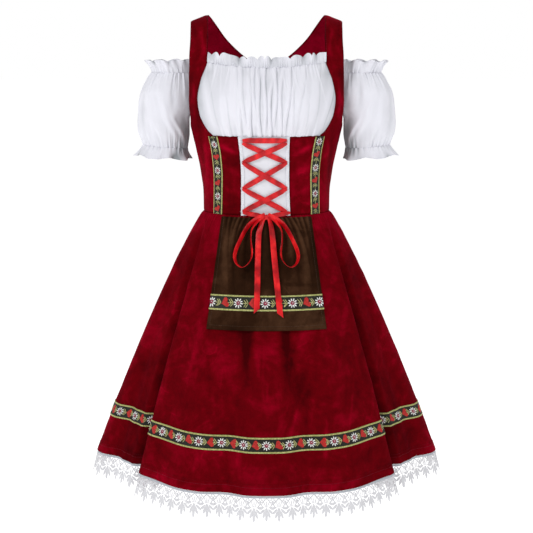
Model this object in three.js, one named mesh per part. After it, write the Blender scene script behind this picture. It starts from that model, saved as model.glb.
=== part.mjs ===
// A dirndl: laced velvet bodice and flared skirt, gathered white bust insert, off-shoulder puff
// sleeves, small apron, woven trims, laced ribbon with a bow, and a lace edge under the hem.
// Millimetres, +Z up, the front faces -Y and the wearer's left is +X. The origin lies midway
// between the shoulder straps, level with where they rest on the shoulders beside the neck.
import * as THREE from 'three';

// Thickness of each cloth, and the clearance that neighbouring pieces keep.
const VELVET = 2;
const COTTON = 1.5;
const RIBBON = 1.2;
const SATIN = 0.8;
const GAP = 0.3;

// Levels of the seams.
const WAIST_Z = -382;
const BUST_SEAM_Z = -229;

// Shoulders: the straps fall away from the neck and round over from front to back.
const SHOULDER_FALL = 0.37;
const STRAP_NECK_X = 113.8;
const SHOULDER_ROUND = 70;
const SIDE_SEAM = 90;

// Half width, front depth and back depth of the bodice's outside, from the waist up.
const TORSO = [
  { z: -382, width: 124.6, front: 95, back: 84 },
  { z: -337, width: 125.5, front: 97, back: 85 },
  { z: -309, width: 129, front: 100, back: 87 },
  { z: -266, width: 137, front: 106, back: 92 },
  { z: -229, width: 146, front: 114, back: 97 },
  { z: -200, width: 153, front: 122, back: 101 },
  { z: -169, width: 161, front: 127, back: 104 },
  { z: -135, width: 168, front: 120, back: 106 },
  { z: -100, width: 178, front: 106, back: 106 },
  { z: -60, width: 190, front: 88, back: 100 },
  { z: 10, width: 201, front: 78, back: 94 },
];

// Rows of the side front panel and its strap. inner is the princess seam, then the edge round the
// bust insert, then the neck edge of the strap; outer is the armhole, or none at the side seam.
// round is how far a strap row has yet to turn over the shoulder, in degrees.
const SIDE_FRONT_ROWS = [
  { z: -382, inner: 95 },
  { z: -345, inner: 94 },
  { z: -309, inner: 93.5 },
  { z: -266, inner: 96.5 },
  { z: -229, inner: 103 },
  { z: -219, inner: 113.4 },
  { z: -205, inner: 122.5, outer: 149.2 },
  { z: -190, inner: 129, outer: 150 },
  { z: -160, inner: 133.2, outer: 151 },
  { z: -124, inner: 126.7, outer: 150.6 },
  { z: -87, inner: 113, outer: 149.3 },
  { round: 66, inner: 112.3, outer: 147.5 },
  { round: 42, inner: 112.6, outer: 147 },
  { round: 20, inner: 113.4, outer: 147.6 },
  { round: 0, inner: 113.8, outer: 148 },
];

// Rows of each half of the back, from the centre back seam and the scooped neckline.
const BACK_ROWS = [
  { z: -382, inner: 0 },
  { z: -330, inner: 0 },
  { z: -280, inner: 0 },
  { z: -229, inner: 0 },
  { z: -205, inner: 0, outer: 149.2 },
  { z: -160, inner: 0, outer: 151 },
  { z: -124, inner: 0, outer: 150.6 },
  { z: -98, inner: 0, outer: 149.8 },
  { z: -94, inner: 25, outer: 149.6 },
  { z: -82, inner: 43, outer: 149 },
  { z: -62, inner: 66, outer: 148 },
  { z: -44, inner: 82.5, outer: 147.2 },
  { round: 55, inner: 97.5, outer: 147 },
  { round: 35, inner: 106.5, outer: 147.2 },
  { round: 17, inner: 111.8, outer: 147.7 },
  { round: 0, inner: 113.8, outer: 148 },
];

// Rows of the centre front panels, from the princess seams in to the lacing panel, which sits a
// little towards the wearer's right: left and right are its two edges.
const CENTRE_FRONT_ROWS = [
  { z: -382, seam: 95, left: 45.8, right: 49 },
  { z: -345, seam: 94, left: 44, right: 48.4 },
  { z: -309, seam: 93.5, left: 43, right: 48.2 },
  { z: -266, seam: 96.5, left: 43, right: 50.3 },
  { z: -229, seam: 103, left: 44, right: 54.3 },
];

// Widths of the woven trims, of the lacing panel's binding and of the satin ribbon.
const BODICE_TRIM_WIDTH = 23;
const BINDING_WIDTH = 6;
const SATIN_WIDTH = 10.5;

// The gathered bust insert, which puffs out between its seams, and the frill over its elastic.
const INSERT_ROWS = [-229, -219, -205, -182, -152, -120, -96, -87];
const INSERT_COLUMNS = 44;
const INSERT_PUFF = 5;
const INSERT_GATHER = 2.2;
const ELASTIC_DIP = 10.5;
const BUST_FRILL_HEIGHT = 18.5;
const BUST_FRILL_LEAN = 7;
const BUST_FRILL_WAVES = 14;
const BUST_FRILL_WAVE = 3.6;

// The skirt: a flared ring from the waist seam to the hem. Its cloth is equally long all round,
// so the hem hangs a little lower where it stands out less, at the front and back.
const HEM_WIDTH = 343.5;
const HEM_DEPTH = 245;
const SKIRT_LENGTH = 533.7;
const SKIRT_SWELL = 0.17;
const SWELL_POWER = 0.6;
// The skirt's folds. angle is the fold's place round the skirt at the hem from the centre front,
// reach its half width and drift how much further round it starts at the waist, all in degrees;
// start is where it begins, as a share of the way down; depth is how far in it goes at the hem.
// Each fold is there on both sides.
const DRIFT_SHARE = 0.15;
const SKIRT_FOLDS = [
  { angle: 19, reach: 12, depth: 13, start: 0.15, drift: 2 },
  { angle: 55, reach: 20, depth: 18, start: 0, drift: 8 },
  { angle: 65, reach: 5, depth: 62, start: 0.02, drift: 7 },
  { angle: 72, reach: 16, depth: 42, start: 0, drift: 4 },
  { angle: 79, reach: 4.5, depth: 9, start: 0.08, drift: 3 },
  { angle: 99, reach: 8, depth: 18, start: 0.12, drift: 1 },
  { angle: 116, reach: 11, depth: 36, start: 0.04, drift: -3 },
  { angle: 141, reach: 11, depth: 24, start: 0.12, drift: -3 },
  { angle: 165, reach: 11, depth: 27, start: 0.06, drift: -2 },
];
// Columns of the skirt's walls, closer together where the deep folds are, and its rows and those
// of the trim, as shares of the way down.
const SKIRT_COLUMNS = [
  { from: 0, to: 50, step: 5 },
  { from: 50, to: 82, step: 2.3 },
  { from: 82, to: 90, step: 4 },
  { from: 90, to: 180, step: 4.1 },
];
const HEM_TRIM_ROWS = [0.793, 0.85];
const SKIRT_ROWS = [0, 0.03, 0.1, 0.22, 0.38, 0.58, ...HEM_TRIM_ROWS, 1];

// Lace: one repeat of its leaf edge and the gap above each leaf. across is the place along the
// repeat, as a share of it, and drop is below the hem.
const LACE_PITCH = 23;
const LACE_FLARE = 0.25;
const LACE_CLEAR = 0.6;
const LACE_LEAF = [
  { across: 0, drop: 0 },
  { across: 1, drop: 0 },
  { across: 1, drop: 21 },
  { across: 0.84, drop: 34 },
  { across: 0.5, drop: 47 },
  { across: 0.16, drop: 34 },
  { across: 0, drop: 21 },
];
const LACE_GAP = [
  { across: 0.5, drop: 7 },
  { across: 0.66, drop: 12.5 },
  { across: 0.5, drop: 18 },
  { across: 0.34, drop: 12.5 },
];

// The apron, gathered into the waist seam and lying on the front of the skirt.
const APRON_TOP_Z = -386.5;
const APRON_HEM_Z = -594;
const APRON_TOP_HALF = 86;
const APRON_HEM_HALF = 114.5;
const APRON_COLUMNS = 24;
const APRON_TRIM_ROWS = [-529, -558];
const APRON_ROWS = [APRON_TOP_Z, -402, -435, -475, ...APRON_TRIM_ROWS, APRON_HEM_Z];
const APRON_LIFT = 3.2;
const APRON_PLEATS = 8;
const APRON_PLEAT = 3;
const APRON_PLEAT_LENGTH = 90;

// Sleeve sections: the levels, the sides nearest to and furthest from the body, the half depth,
// how much lower the far side hangs, and the height of the gathers.
const SLEEVE_BODY = [
  { z: -110, inner: 149, outer: 224, depth: 38, fall: 0, gather: 2.2 },
  { z: -124, inner: 144.5, outer: 235, depth: 46, fall: 0, gather: 2.4 },
  { z: -148, inner: 141, outer: 247, depth: 53, fall: 0, gather: 1.6 },
  { z: -174, inner: 141, outer: 252, depth: 54, fall: 0, gather: 0.8 },
  { z: -200, inner: 151.5, outer: 253.8, depth: 53, fall: 0, gather: 0.8 },
  { z: -228, inner: 151.8, outer: 251.5, depth: 49, fall: -1, gather: 1.4 },
  { z: -254, inner: 156.8, outer: 242.5, depth: 40, fall: -3.3, gather: 2.2 },
];
const SLEEVE_FRILL = [
  SLEEVE_BODY[0],
  { z: -88.5, inner: 151.5, outer: 235, depth: 45, fall: 1, gather: 4.5 },
];
const CUFF_FRILL = [
  SLEEVE_BODY[SLEEVE_BODY.length - 1],
  { z: -275, inner: 149.5, outer: 258.5, depth: 49, fall: -4, gather: 4.5 },
];
const SLEEVE_COLUMNS = 32;

// The lacing: a bar at the top and crosses between these rows, then the ends to the bow. The
// ribbon's layers lie at two heights over the panel.
const LACING_BAR_Z = -235;
const LACING_ROWS = [-240, -278, -329, -374];
const LACING_MIDDLE = -3.4;
const LACING_HALF = 41.6;
const TIE_HALF = 44.5;
const LOW_LAYER = 2.6;
const HIGH_LAYER = 3.8;
const CROSSING = [
  { share: 0, under: HIGH_LAYER, over: HIGH_LAYER },
  { share: 0.15, under: HIGH_LAYER, over: HIGH_LAYER },
  { share: 0.36, under: LOW_LAYER, over: HIGH_LAYER },
  { share: 0.5, under: LOW_LAYER, over: HIGH_LAYER },
  { share: 0.66, under: LOW_LAYER, over: HIGH_LAYER },
  { share: 0.85, under: LOW_LAYER, over: LOW_LAYER },
  { share: 1, under: LOW_LAYER, over: LOW_LAYER },
];

// The bow: the knot, and the middle lines of one loop and of the two free ends, at their height
// over the skirt's front. Loops stand on edge; the free ends lie flat and are cut on a slant.
const KNOT = { x: 0.5, z: -383, lift: 14.5, width: 7.5, depth: 4.5, height: 5.5 };
const BOW_LOOP = [
  { x: 9.5, z: -385, lift: 15 },
  { x: 18, z: -391.5, lift: 14.5 },
  { x: 34.5, z: -406, lift: 13.5 },
  { x: 47.5, z: -430, lift: 12.5 },
  { x: 58, z: -456, lift: 12 },
  { x: 54, z: -472, lift: 12 },
  { x: 43.5, z: -478.5, lift: 12 },
  { x: 31, z: -468, lift: 12 },
  { x: 26.5, z: -453, lift: 12 },
  { x: 29, z: -429, lift: 12.5 },
  { x: 28.5, z: -411, lift: 13.5 },
  { x: 20.5, z: -399.5, lift: 14.5 },
  { x: 9.5, z: -391, lift: 15 },
];
const BOW_ENDS = {
  right: [
    { x: -6, z: -392.5, lift: 7.6 },
    { x: -13, z: -410, lift: 7.9 },
    { x: -16, z: -460, lift: 7.5 },
    { x: -17, z: -515, lift: 6.6 },
    { x: -18.3, z: -558, lift: 6.6 },
  ],
  left: [
    { x: 6, z: -392.5, lift: 7.6 },
    { x: 9.5, z: -410, lift: 7.9 },
    { x: 14.5, z: -460, lift: 7.5 },
    { x: 20.2, z: -515, lift: 6.6 },
    { x: 25.6, z: -566, lift: 6.6 },
  ],
};
const BOW_WIDTH = 11;
const END_SLANT = 5;

const radians = THREE.MathUtils.degToRad;
const lerp = THREE.MathUtils.lerp;
const SIDES = { left: 1, right: -1 };

// The value of one column of the torso table at a level, on a smooth curve through its rows.
function torsoSize(z, column) {
  const last = TORSO.length - 1;
  const next = Math.min(last, Math.max(1, TORSO.findIndex((row) => row.z >= z)));
  const [before, low, high, after] = [next - 2, next - 1, next, next + 1].map(
    (index) => TORSO[Math.min(last, Math.max(0, index))],
  );
  const span = high.z - low.z;
  const share = (z - low.z) / span;
  const lowSlope = (high[column] - before[column]) / (high.z - before.z);
  const highSlope = (after[column] - low[column]) / (after.z - low.z);
  const squared = share * share;
  const cubed = squared * share;
  return (2 * cubed - 3 * squared + 1) * low[column]
    + (cubed - 2 * squared + share) * span * lowSlope
    + (3 * squared - 2 * cubed) * high[column]
    + (cubed - squared) * span * highSlope;
}

// The straps' underside rests at level 0 beside the neck, and their outside is a cloth higher.
function shoulderZ(x) {
  return VELVET - SHOULDER_FALL * (Math.abs(x) - STRAP_NECK_X);
}

// The square of the share of the body's depth that is left at a place as it rounds over the
// shoulder: none on the shoulder line, all of it lower down.
function shoulderShare(x, z) {
  const below = Math.min(1, (shoulderZ(x) - z) / SHOULDER_ROUND);
  return 1 - (1 - below) ** 2;
}

// A point on the bodice's outside, at an angle round the body from the centre front.
function torsoPoint(angle, z) {
  const x = torsoSize(z, 'width') * Math.sin(radians(angle));
  const ahead = Math.cos(radians(angle));
  const depth = torsoSize(z, ahead > 0 ? 'front' : 'back');
  return new THREE.Vector3(x, -depth * ahead * Math.sqrt(Math.max(0, shoulderShare(x, z))), z);
}

// The direction out of the body at a point of its surface.
function torsoOut(point) {
  const column = point.y < 0 ? 'front' : 'back';
  const inside = (x, y, z) => (y / torsoSize(z, column)) ** 2
    - (1 - (x / torsoSize(z, 'width')) ** 2) * shoulderShare(x, z);
  const { x, y, z } = point;
  const h = 0.05;
  return new THREE.Vector3(
    inside(x + h, y, z) - inside(x - h, y, z),
    inside(x, y + h, z) - inside(x, y - h, z),
    inside(x, y, z + h) - inside(x, y, z - h),
  ).normalize();
}

function torsoAngle(x, z) {
  return THREE.MathUtils.radToDeg(Math.asin(Math.min(1, x / torsoSize(z, 'width'))));
}

// Points raised from their surface by a distance, one direction for each point.
function raised(points, outs, distance) {
  return points.map((row, i) => row.map((point, j) => point.clone().addScaledVector(outs[i][j], distance)));
}

// Draws chosen edges of a grid of points in by half the clearance of a seam.
function seamed(points, edges) {
  const grid = points.map((row) => row.map((point) => point.clone()));
  const rows = points.length - 1;
  const columns = points[0].length - 1;
  const draw = (row, column, nextRow, nextColumn) => {
    const along = points[nextRow][nextColumn].clone().sub(points[row][column]).normalize();
    grid[row][column].addScaledVector(along, GAP / 2);
  };
  for (let column = 0; column <= columns; column += 1) {
    if (edges.includes('first row')) draw(0, column, 1, column);
    if (edges.includes('last row')) draw(rows, column, rows - 1, column);
  }
  for (let row = 0; row <= rows; row += 1) {
    if (edges.includes('first column')) draw(row, 0, row, 1);
    if (edges.includes('last column')) draw(row, columns, row, columns - 1);
  }
  return grid;
}

// A closed body from triangles over a list of points, with its faces turned outwards.
function closedGeometry(points, triangles) {
  const volume = triangles.reduce((sum, [a, b, c]) => (
    sum + points[a].dot(points[b].clone().cross(points[c]))), 0);
  const ordered = volume > 0 ? triangles : triangles.map(([a, b, c]) => [a, c, b]);
  const geometry = new THREE.BufferGeometry();
  geometry.setAttribute('position', new THREE.Float32BufferAttribute(
    points.flatMap((point) => point.toArray()), 3));
  geometry.setIndex(ordered.flat());
  geometry.computeVertexNormals();
  return geometry;
}

// A wall between two matching grids of points, closed along its edges. Round a tube the last
// column joins the first.
function wallGeometry(outer, inner, tube = false) {
  const rows = outer.length;
  const columns = outer[0].length;
  const spans = tube ? columns : columns - 1;
  const at = (layer, row, column) => (layer * rows + row) * columns + (column % columns);
  const triangles = [];
  const face = (a, b, c, d) => triangles.push([a, b, c], [a, c, d]);
  for (let column = 0; column < spans; column += 1) {
    for (let row = 0; row < rows - 1; row += 1) {
      face(at(0, row, column), at(0, row, column + 1), at(0, row + 1, column + 1), at(0, row + 1, column));
      face(at(1, row, column), at(1, row + 1, column), at(1, row + 1, column + 1), at(1, row, column + 1));
    }
    face(at(0, 0, column), at(1, 0, column), at(1, 0, column + 1), at(0, 0, column + 1));
    const top = rows - 1;
    face(at(0, top, column), at(0, top, column + 1), at(1, top, column + 1), at(1, top, column));
  }
  if (!tube) {
    const end = columns - 1;
    for (let row = 0; row < rows - 1; row += 1) {
      face(at(0, row, 0), at(0, row + 1, 0), at(1, row + 1, 0), at(1, row, 0));
      face(at(0, row, end), at(1, row, end), at(1, row + 1, end), at(0, row + 1, end));
    }
  }
  return closedGeometry([...outer.flat(), ...inner.flat()], triangles);
}

const material = (color, roughness) => new THREE.MeshStandardMaterial({ color, roughness, metalness: 0 });
const CLOTHS = {
  velvet: material('#7a0418', 0.75),
  cotton: material('#ecebf3', 0.85),
  brown: material('#38200f', 0.85),
  woven: material('#20231a', 0.7),
  satin: material('#d8171f', 0.35),
  lace: material('#e8e8ee', 0.8),
};

const dirndl = new THREE.Group();

function addPiece(name, geometry, cloth) {
  const mesh = new THREE.Mesh(geometry, CLOTHS[cloth]);
  mesh.name = name;
  dirndl.add(mesh);
}

// Bodice panels. The first column in from the princess seam is the edge of the trim over it.
function bodicePoints(rows, columns, side, back = false) {
  const edge = (row, x) => {
    const z = row.z ?? shoulderZ(x) - SHOULDER_ROUND * (1 - Math.cos(radians(row.round)));
    return { z, angle: torsoAngle(x, z) };
  };
  return rows.map((row) => {
    const inner = edge(row, row.inner);
    const outer = row.outer === undefined ? { z: row.z, angle: SIDE_SEAM } : edge(row, row.outer);
    const arc = torsoPoint(inner.angle, inner.z).distanceTo(torsoPoint(outer.angle, outer.z));
    const first = Math.min(0.5, BODICE_TRIM_WIDTH / 2 / arc);
    return Array.from({ length: columns + 1 }, (_, column) => {
      const share = column === 0 ? 0 : lerp(first, 1, (column - 1) / (columns - 1));
      const angle = lerp(inner.angle, outer.angle, share);
      const point = torsoPoint(back ? 180 - angle : angle, lerp(inner.z, outer.z, share));
      return new THREE.Vector3(point.x * side, point.y, point.z);
    });
  });
}

const outsOf = (points) => points.map((row) => row.map(torsoOut));

function addTorsoPiece(name, points, edges, cloth, low, high) {
  const drawn = seamed(points, edges);
  const outs = outsOf(drawn);
  addPiece(name, wallGeometry(raised(drawn, outs, high), raised(drawn, outs, low)), cloth);
}

function addBodice() {
  const allEdges = ['first row', 'last row', 'first column', 'last column'];
  for (const [name, side] of Object.entries(SIDES)) {
    const sideFront = bodicePoints(SIDE_FRONT_ROWS, 4, side);
    const centreRows = CENTRE_FRONT_ROWS.map((row) => ({ z: row.z, inner: row.seam, outer: row[name] }));
    const centreFront = bodicePoints(centreRows, 3, side);
    const back = bodicePoints(BACK_ROWS, 6, side, true);
    addTorsoPiece(`bodice_side_front_${name}`, sideFront, allEdges, 'velvet', -VELVET, 0);
    addTorsoPiece(`bodice_centre_front_${name}`, centreFront, allEdges, 'velvet', -VELVET, 0);
    addTorsoPiece(`bodice_back_${name}`, back, allEdges, 'velvet', -VELVET, 0);
    const trim = centreFront.map((row, index) => [row[1], row[0], sideFront[index][1]]);
    addTorsoPiece(`trim_bodice_${name}`, trim, ['first row', 'last row'], 'woven', GAP, GAP + RIBBON);
  }
}

// The white panel behind the lacing, and the binding along its two sides.
function addLacingPanel() {
  const points = CENTRE_FRONT_ROWS.map(({ z, left, right }) => {
    const from = BINDING_WIDTH - right;
    const to = left - BINDING_WIDTH;
    const places = [-right, from, lerp(from, to, 1 / 3), lerp(from, to, 2 / 3), to, left];
    return places.map((x) => torsoPoint(torsoAngle(x, z), z));
  });
  const edges = ['first row', 'last row', 'first column', 'last column'];
  addTorsoPiece('lacing_panel', points, edges, 'cotton', -COTTON, 0);
  for (const [name, columns] of [['right', [0, 1]], ['left', [5, 4]]]) {
    const binding = points.map((row) => columns.map((column) => row[column]));
    addTorsoPiece(`lacing_binding_${name}`, binding, ['first row', 'last row'], 'cotton', GAP, GAP + RIBBON);
  }
}

// The outer edge of the bust insert at a level, from the side front panel's inner edge.
function insertEdge(z) {
  const rows = SIDE_FRONT_ROWS.filter((row) => row.z >= BUST_SEAM_Z);
  const next = Math.max(1, rows.findIndex((row) => row.z >= z));
  const share = (z - rows[next - 1].z) / (rows[next].z - rows[next - 1].z);
  return lerp(rows[next - 1].inner, rows[next].inner, share);
}

// How uneven the gathers are: the height of one ridge or valley against the average.
const gatherHeight = (column) => (column % 2 ? 1 : -1) * (0.8 + 0.3 * Math.sin(column * 2.4));

function insertPoints() {
  const top = INSERT_ROWS[INSERT_ROWS.length - 1];
  return INSERT_ROWS.map((level) => {
    const up = (level - BUST_SEAM_Z) / (top - BUST_SEAM_Z);
    const edgeAngle = torsoAngle(insertEdge(level), level);
    return Array.from({ length: INSERT_COLUMNS + 1 }, (_, column) => {
      const across = (2 * column) / INSERT_COLUMNS - 1;
      const z = level - ELASTIC_DIP * Math.max(0, up * 2 - 1) * Math.cos(across * Math.PI / 2);
      const point = torsoPoint(edgeAngle * across, z);
      const fade = 1 - across ** 6;
      const puff = INSERT_PUFF * Math.sin(up * Math.PI) * fade;
      const gathered = Math.max(0.25, 1 - 2.2 * Math.min(up, 1 - up));
      const gather = INSERT_GATHER * gathered * gatherHeight(column) * fade;
      return point.addScaledVector(torsoOut(point), puff + gather);
    });
  });
}

function addInsert() {
  const points = insertPoints();
  const drawn = seamed(points, ['first row', 'last row', 'first column', 'last column']);
  const outs = outsOf(drawn);
  addPiece('bust_insert', wallGeometry(drawn, raised(drawn, outs, -COTTON)), 'cotton');
  const elastic = points[points.length - 1].filter((_, column) => column % 4 === 0);
  const steps = BUST_FRILL_WAVES * 3;
  const frill = [0, 0.45, 1].map((up) => Array.from({ length: steps + 1 }, (_, step) => {
    const place = (step / steps) * (elastic.length - 1);
    const low = Math.min(elastic.length - 2, Math.floor(place));
    const foot = elastic[low].clone().lerp(elastic[low + 1], place - low);
    const wave = Math.sin((step / 3) * 2 * Math.PI + Math.sin(step)) * BUST_FRILL_WAVE;
    const out = torsoOut(foot).setZ(0).normalize();
    return foot.addScaledVector(out, up * (wave - BUST_FRILL_LEAN / 2)).setZ(foot.z + GAP + up * BUST_FRILL_HEIGHT);
  }));
  const frillOuts = frill.map((row) => row.map((point) => torsoOut(point).setZ(0).normalize()));
  addPiece('bust_frill', wallGeometry(frill, raised(frill, frillOuts, -COTTON)), 'cotton');
}

// The size of the skirt's ring before it is folded, at a share of the way down.
function skirtSize(share, ahead) {
  const grown = share + SKIRT_SWELL * Math.max(0, share) ** SWELL_POWER * (1 - share);
  const waist = TORSO[0];
  return {
    width: lerp(waist.width, HEM_WIDTH, grown),
    depth: lerp(ahead ? waist.front : waist.back, HEM_DEPTH, grown),
  };
}

function ringRadius(angle, { width, depth }) {
  return 1 / Math.hypot(Math.sin(radians(angle)) / width, Math.cos(radians(angle)) / depth);
}

// How far the hem hangs below the waist at an angle, from the cloth's length and its flare.
function skirtDrop(angle) {
  const ahead = Math.cos(radians(angle)) > 0;
  const flare = ringRadius(angle, skirtSize(1, ahead)) - ringRadius(angle, skirtSize(0, ahead));
  return Math.sqrt(SKIRT_LENGTH ** 2 - flare ** 2);
}

// The skirt's outside, at an angle round it from the centre front and a share of the way down.
function skirtPoint(angle, share) {
  const ahead = Math.cos(radians(angle));
  let radius = ringRadius(angle, skirtSize(share, ahead > 0));
  for (const fold of SKIRT_FOLDS) {
    const centre = fold.angle + fold.drift * Math.exp(-share / DRIFT_SHARE);
    const off = (Math.abs(angle) - centre) / fold.reach;
    const open = Math.max(0, (share - fold.start) / (1 - fold.start));
    radius -= Math.abs(off) < 1 ? fold.depth * open * (1 + Math.cos(off * Math.PI)) / 2 : 0;
  }
  const z = WAIST_Z - share * skirtDrop(angle);
  return new THREE.Vector3(radius * Math.sin(radians(angle)), -radius * ahead, z);
}

// The direction outwards there. At the waist it is taken a little lower, clear of the seam.
function skirtOut(angle, share) {
  const below = Math.max(share, 0.015);
  const round = skirtPoint(angle + 0.4, below).sub(skirtPoint(angle - 0.4, below));
  const up = skirtPoint(angle, below - 0.001).sub(skirtPoint(angle, below + 0.001));
  return round.cross(up).normalize();
}

function quarterAngles(inFront) {
  return SKIRT_COLUMNS.filter((zone) => (zone.to <= SIDE_SEAM) === inFront).flatMap((zone) => {
    const count = Math.round((zone.to - zone.from) / zone.step);
    return Array.from({ length: count }, (_, index) => lerp(zone.from, zone.to, index / count));
  });
}

// Angles round one half of the skirt, from side seam to side seam. Past the centre back they are
// negative, and skirtPoint reads the same folds on both sides.
function halfAngles(inFront) {
  const quarter = [...quarterAngles(inFront), inFront ? SIDE_SEAM : 180];
  const mirrored = quarter.map((angle) => -angle).reverse();
  return inFront ? [...mirrored.slice(0, -1), ...quarter] : [...quarter, ...mirrored.slice(1)];
}

function skirtGrid(inFront, shares) {
  const angles = halfAngles(inFront);
  return {
    points: shares.map((share) => angles.map((angle) => skirtPoint(angle, share))),
    outs: shares.map((share) => angles.map((angle) => skirtOut(angle, share))),
  };
}

// The lace hangs from the hem all round. Its repeats are spaced by the length of the hem's edge.
function addLace(name, angles) {
  const samples = 480;
  const ring = Array.from({ length: samples + 1 }, (_, index) => (
    skirtPoint(lerp(angles.from, angles.to, index / samples), 1)));
  const lengths = [0];
  for (let index = 1; index <= samples; index += 1) {
    lengths.push(lengths[index - 1] + ring[index].distanceTo(ring[index - 1]));
  }
  const repeats = Math.round(lengths[samples] / LACE_PITCH);
  const place = (along, drop, layer) => {
    const length = along / repeats * lengths[samples];
    const next = Math.min(samples, Math.max(1, lengths.findIndex((value) => value >= length)));
    const share = (length - lengths[next - 1]) / (lengths[next] - lengths[next - 1]);
    const behind = ring[Math.max(0, next - 6)];
    const ahead = ring[Math.min(samples, next + 5)];
    const out = ahead.clone().sub(behind).setZ(0).cross(new THREE.Vector3(0, 0, 1)).normalize();
    const hemPoint = ring[next - 1].clone().lerp(ring[next], share);
    hemPoint.addScaledVector(out, drop * LACE_FLARE - (layer + 0.4) * RIBBON);
    return hemPoint.setZ(hemPoint.z - LACE_CLEAR - drop);
  };
  const flat = (corners) => corners.map(({ across, drop }) => new THREE.Vector2(across, -drop));
  const corners = [...LACE_LEAF, ...LACE_GAP];
  const { isClockWise, triangulateShape } = THREE.ShapeUtils;
  const faces = triangulateShape(flat(LACE_LEAF), [flat(LACE_GAP)]).map(([a, b, c]) => (
    isClockWise(flat([corners[a], corners[b], corners[c]])) ? [a, b, c] : [a, c, b]));
  const points = [];
  const triangles = [];
  const leafEnd = LACE_LEAF.length;
  for (let repeat = 0; repeat < repeats; repeat += 1) {
    const base = points.length;
    for (const layer of [0, 1]) {
      points.push(...corners.map(({ across, drop }) => place(repeat + across, drop, layer)));
    }
    const side = (a, b) => triangles.push(
      [base + a, base + a + corners.length, base + b + corners.length],
      [base + a, base + b + corners.length, base + b],
    );
    faces.forEach(([a, b, c]) => {
      triangles.push([base + a, base + b, base + c]);
      triangles.push([base + a, base + c, base + b].map((index) => index + corners.length));
    });
    LACE_LEAF.forEach((_, index) => {
      const joined = index === 1 && repeat < repeats - 1 || index === leafEnd - 1 && repeat > 0;
      if (!joined) side(index, (index + 1) % leafEnd);
    });
    LACE_GAP.forEach((_, index) => side(leafEnd + (index + 1) % LACE_GAP.length, leafEnd + index));
  }
  addPiece(name, closedGeometry(points, triangles), 'lace');
}

function addSkirt() {
  for (const [name, inFront] of [['front', true], ['back', false]]) {
    const { points, outs } = skirtGrid(inFront, SKIRT_ROWS);
    const drawn = seamed(points, ['first row', 'first column', 'last column']);
    const inside = raised(drawn, outs, -VELVET);
    const hem = drawn.length - 1;
    inside[hem].forEach((point, column) => point.setZ(drawn[hem][column].z));
    addPiece(`skirt_${name}`, wallGeometry(drawn, inside), 'velvet');
    const trim = skirtGrid(inFront, HEM_TRIM_ROWS);
    const ends = seamed(trim.points, ['first column', 'last column']);
    const over = [GAP + RIBBON, GAP].map((lift) => raised(ends, trim.outs, lift));
    addPiece(`trim_hem_${name}`, wallGeometry(...over), 'woven');
  }
  addLace('lace_front', { from: -SIDE_SEAM + 0.03, to: SIDE_SEAM - 0.03 });
  addLace('lace_back_left', { from: SIDE_SEAM + 0.03, to: 180 - 0.03 });
  addLace('lace_back_right', { from: -180 + 0.03, to: -SIDE_SEAM - 0.03 });
}

// A point on the unfolded form of the skirt's front. Its share of the way down is found from the
// level in a few steps, because the drop depends on the place across.
function frontFoot(x, z) {
  const point = new THREE.Vector3(x, 0, z);
  let drop = skirtDrop(0);
  for (let step = 0; step < 4; step += 1) {
    const { width, depth } = skirtSize((WAIST_Z - z) / drop, true);
    point.y = -depth * Math.sqrt(1 - (x / width) ** 2);
    drop = skirtDrop(THREE.MathUtils.radToDeg(Math.atan2(x, -point.y)));
  }
  return point;
}

// A point at a height over that form, and the direction outwards.
function overSkirt(x, z, lift) {
  const round = frontFoot(x + 1, z).sub(frontFoot(x - 1, z));
  const up = frontFoot(x, z + 1).sub(frontFoot(x, z - 1));
  const out = round.cross(up).normalize();
  return { point: frontFoot(x, z).addScaledVector(out, lift), out };
}

function addApron() {
  const place = (level, column) => {
    const across = (2 * column) / APRON_COLUMNS - 1;
    const down = (level - APRON_TOP_Z) / (APRON_HEM_Z - APRON_TOP_Z);
    const half = lerp(APRON_TOP_HALF, APRON_HEM_HALF, down);
    const left = Math.max(0, 1 - (APRON_TOP_Z - level) / APRON_PLEAT_LENGTH);
    const pleat = (1 - Math.cos((across + 1) * Math.PI * APRON_PLEATS)) / 2;
    return overSkirt(across * half, level, APRON_LIFT + APRON_PLEAT * pleat * left);
  };
  const grid = (levels) => levels.map((level) => (
    Array.from({ length: APRON_COLUMNS + 1 }, (_, column) => place(level, column))));
  const layer = (places, lift) => places.map((row) => (
    row.map(({ point, out }) => point.clone().addScaledVector(out, lift))));
  const cloth = grid(APRON_ROWS);
  addPiece('apron', wallGeometry(layer(cloth, 0), layer(cloth, -VELVET)), 'brown');
  const trim = grid(APRON_TRIM_ROWS);
  addPiece('trim_apron', wallGeometry(layer(trim, GAP + RIBBON), layer(trim, GAP)), 'woven');
}

// Sleeve tubes, from their sections, with gathers all round.
function sleevePoints(sections, side) {
  return sections.map((section) => Array.from({ length: SLEEVE_COLUMNS }, (_, column) => {
    const turn = (column / SLEEVE_COLUMNS) * 2 * Math.PI;
    const outwards = Math.sin(turn);
    const ridge = section.gather * gatherHeight(column);
    const middle = (section.inner + section.outer) / 2;
    const half = (section.outer - section.inner) / 2 + ridge;
    const x = (middle + half * outwards) * side;
    return new THREE.Vector3(x, -(section.depth + ridge) * Math.cos(turn), section.z - section.fall * outwards);
  }));
}

function sleeveInside(points, sections, side) {
  return points.map((row, index) => row.map((point) => {
    const middle = (sections[index].inner + sections[index].outer) / 2 * side;
    const inward = new THREE.Vector3(middle - point.x, -point.y, 0).normalize();
    return point.clone().addScaledVector(inward, COTTON);
  }));
}

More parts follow.
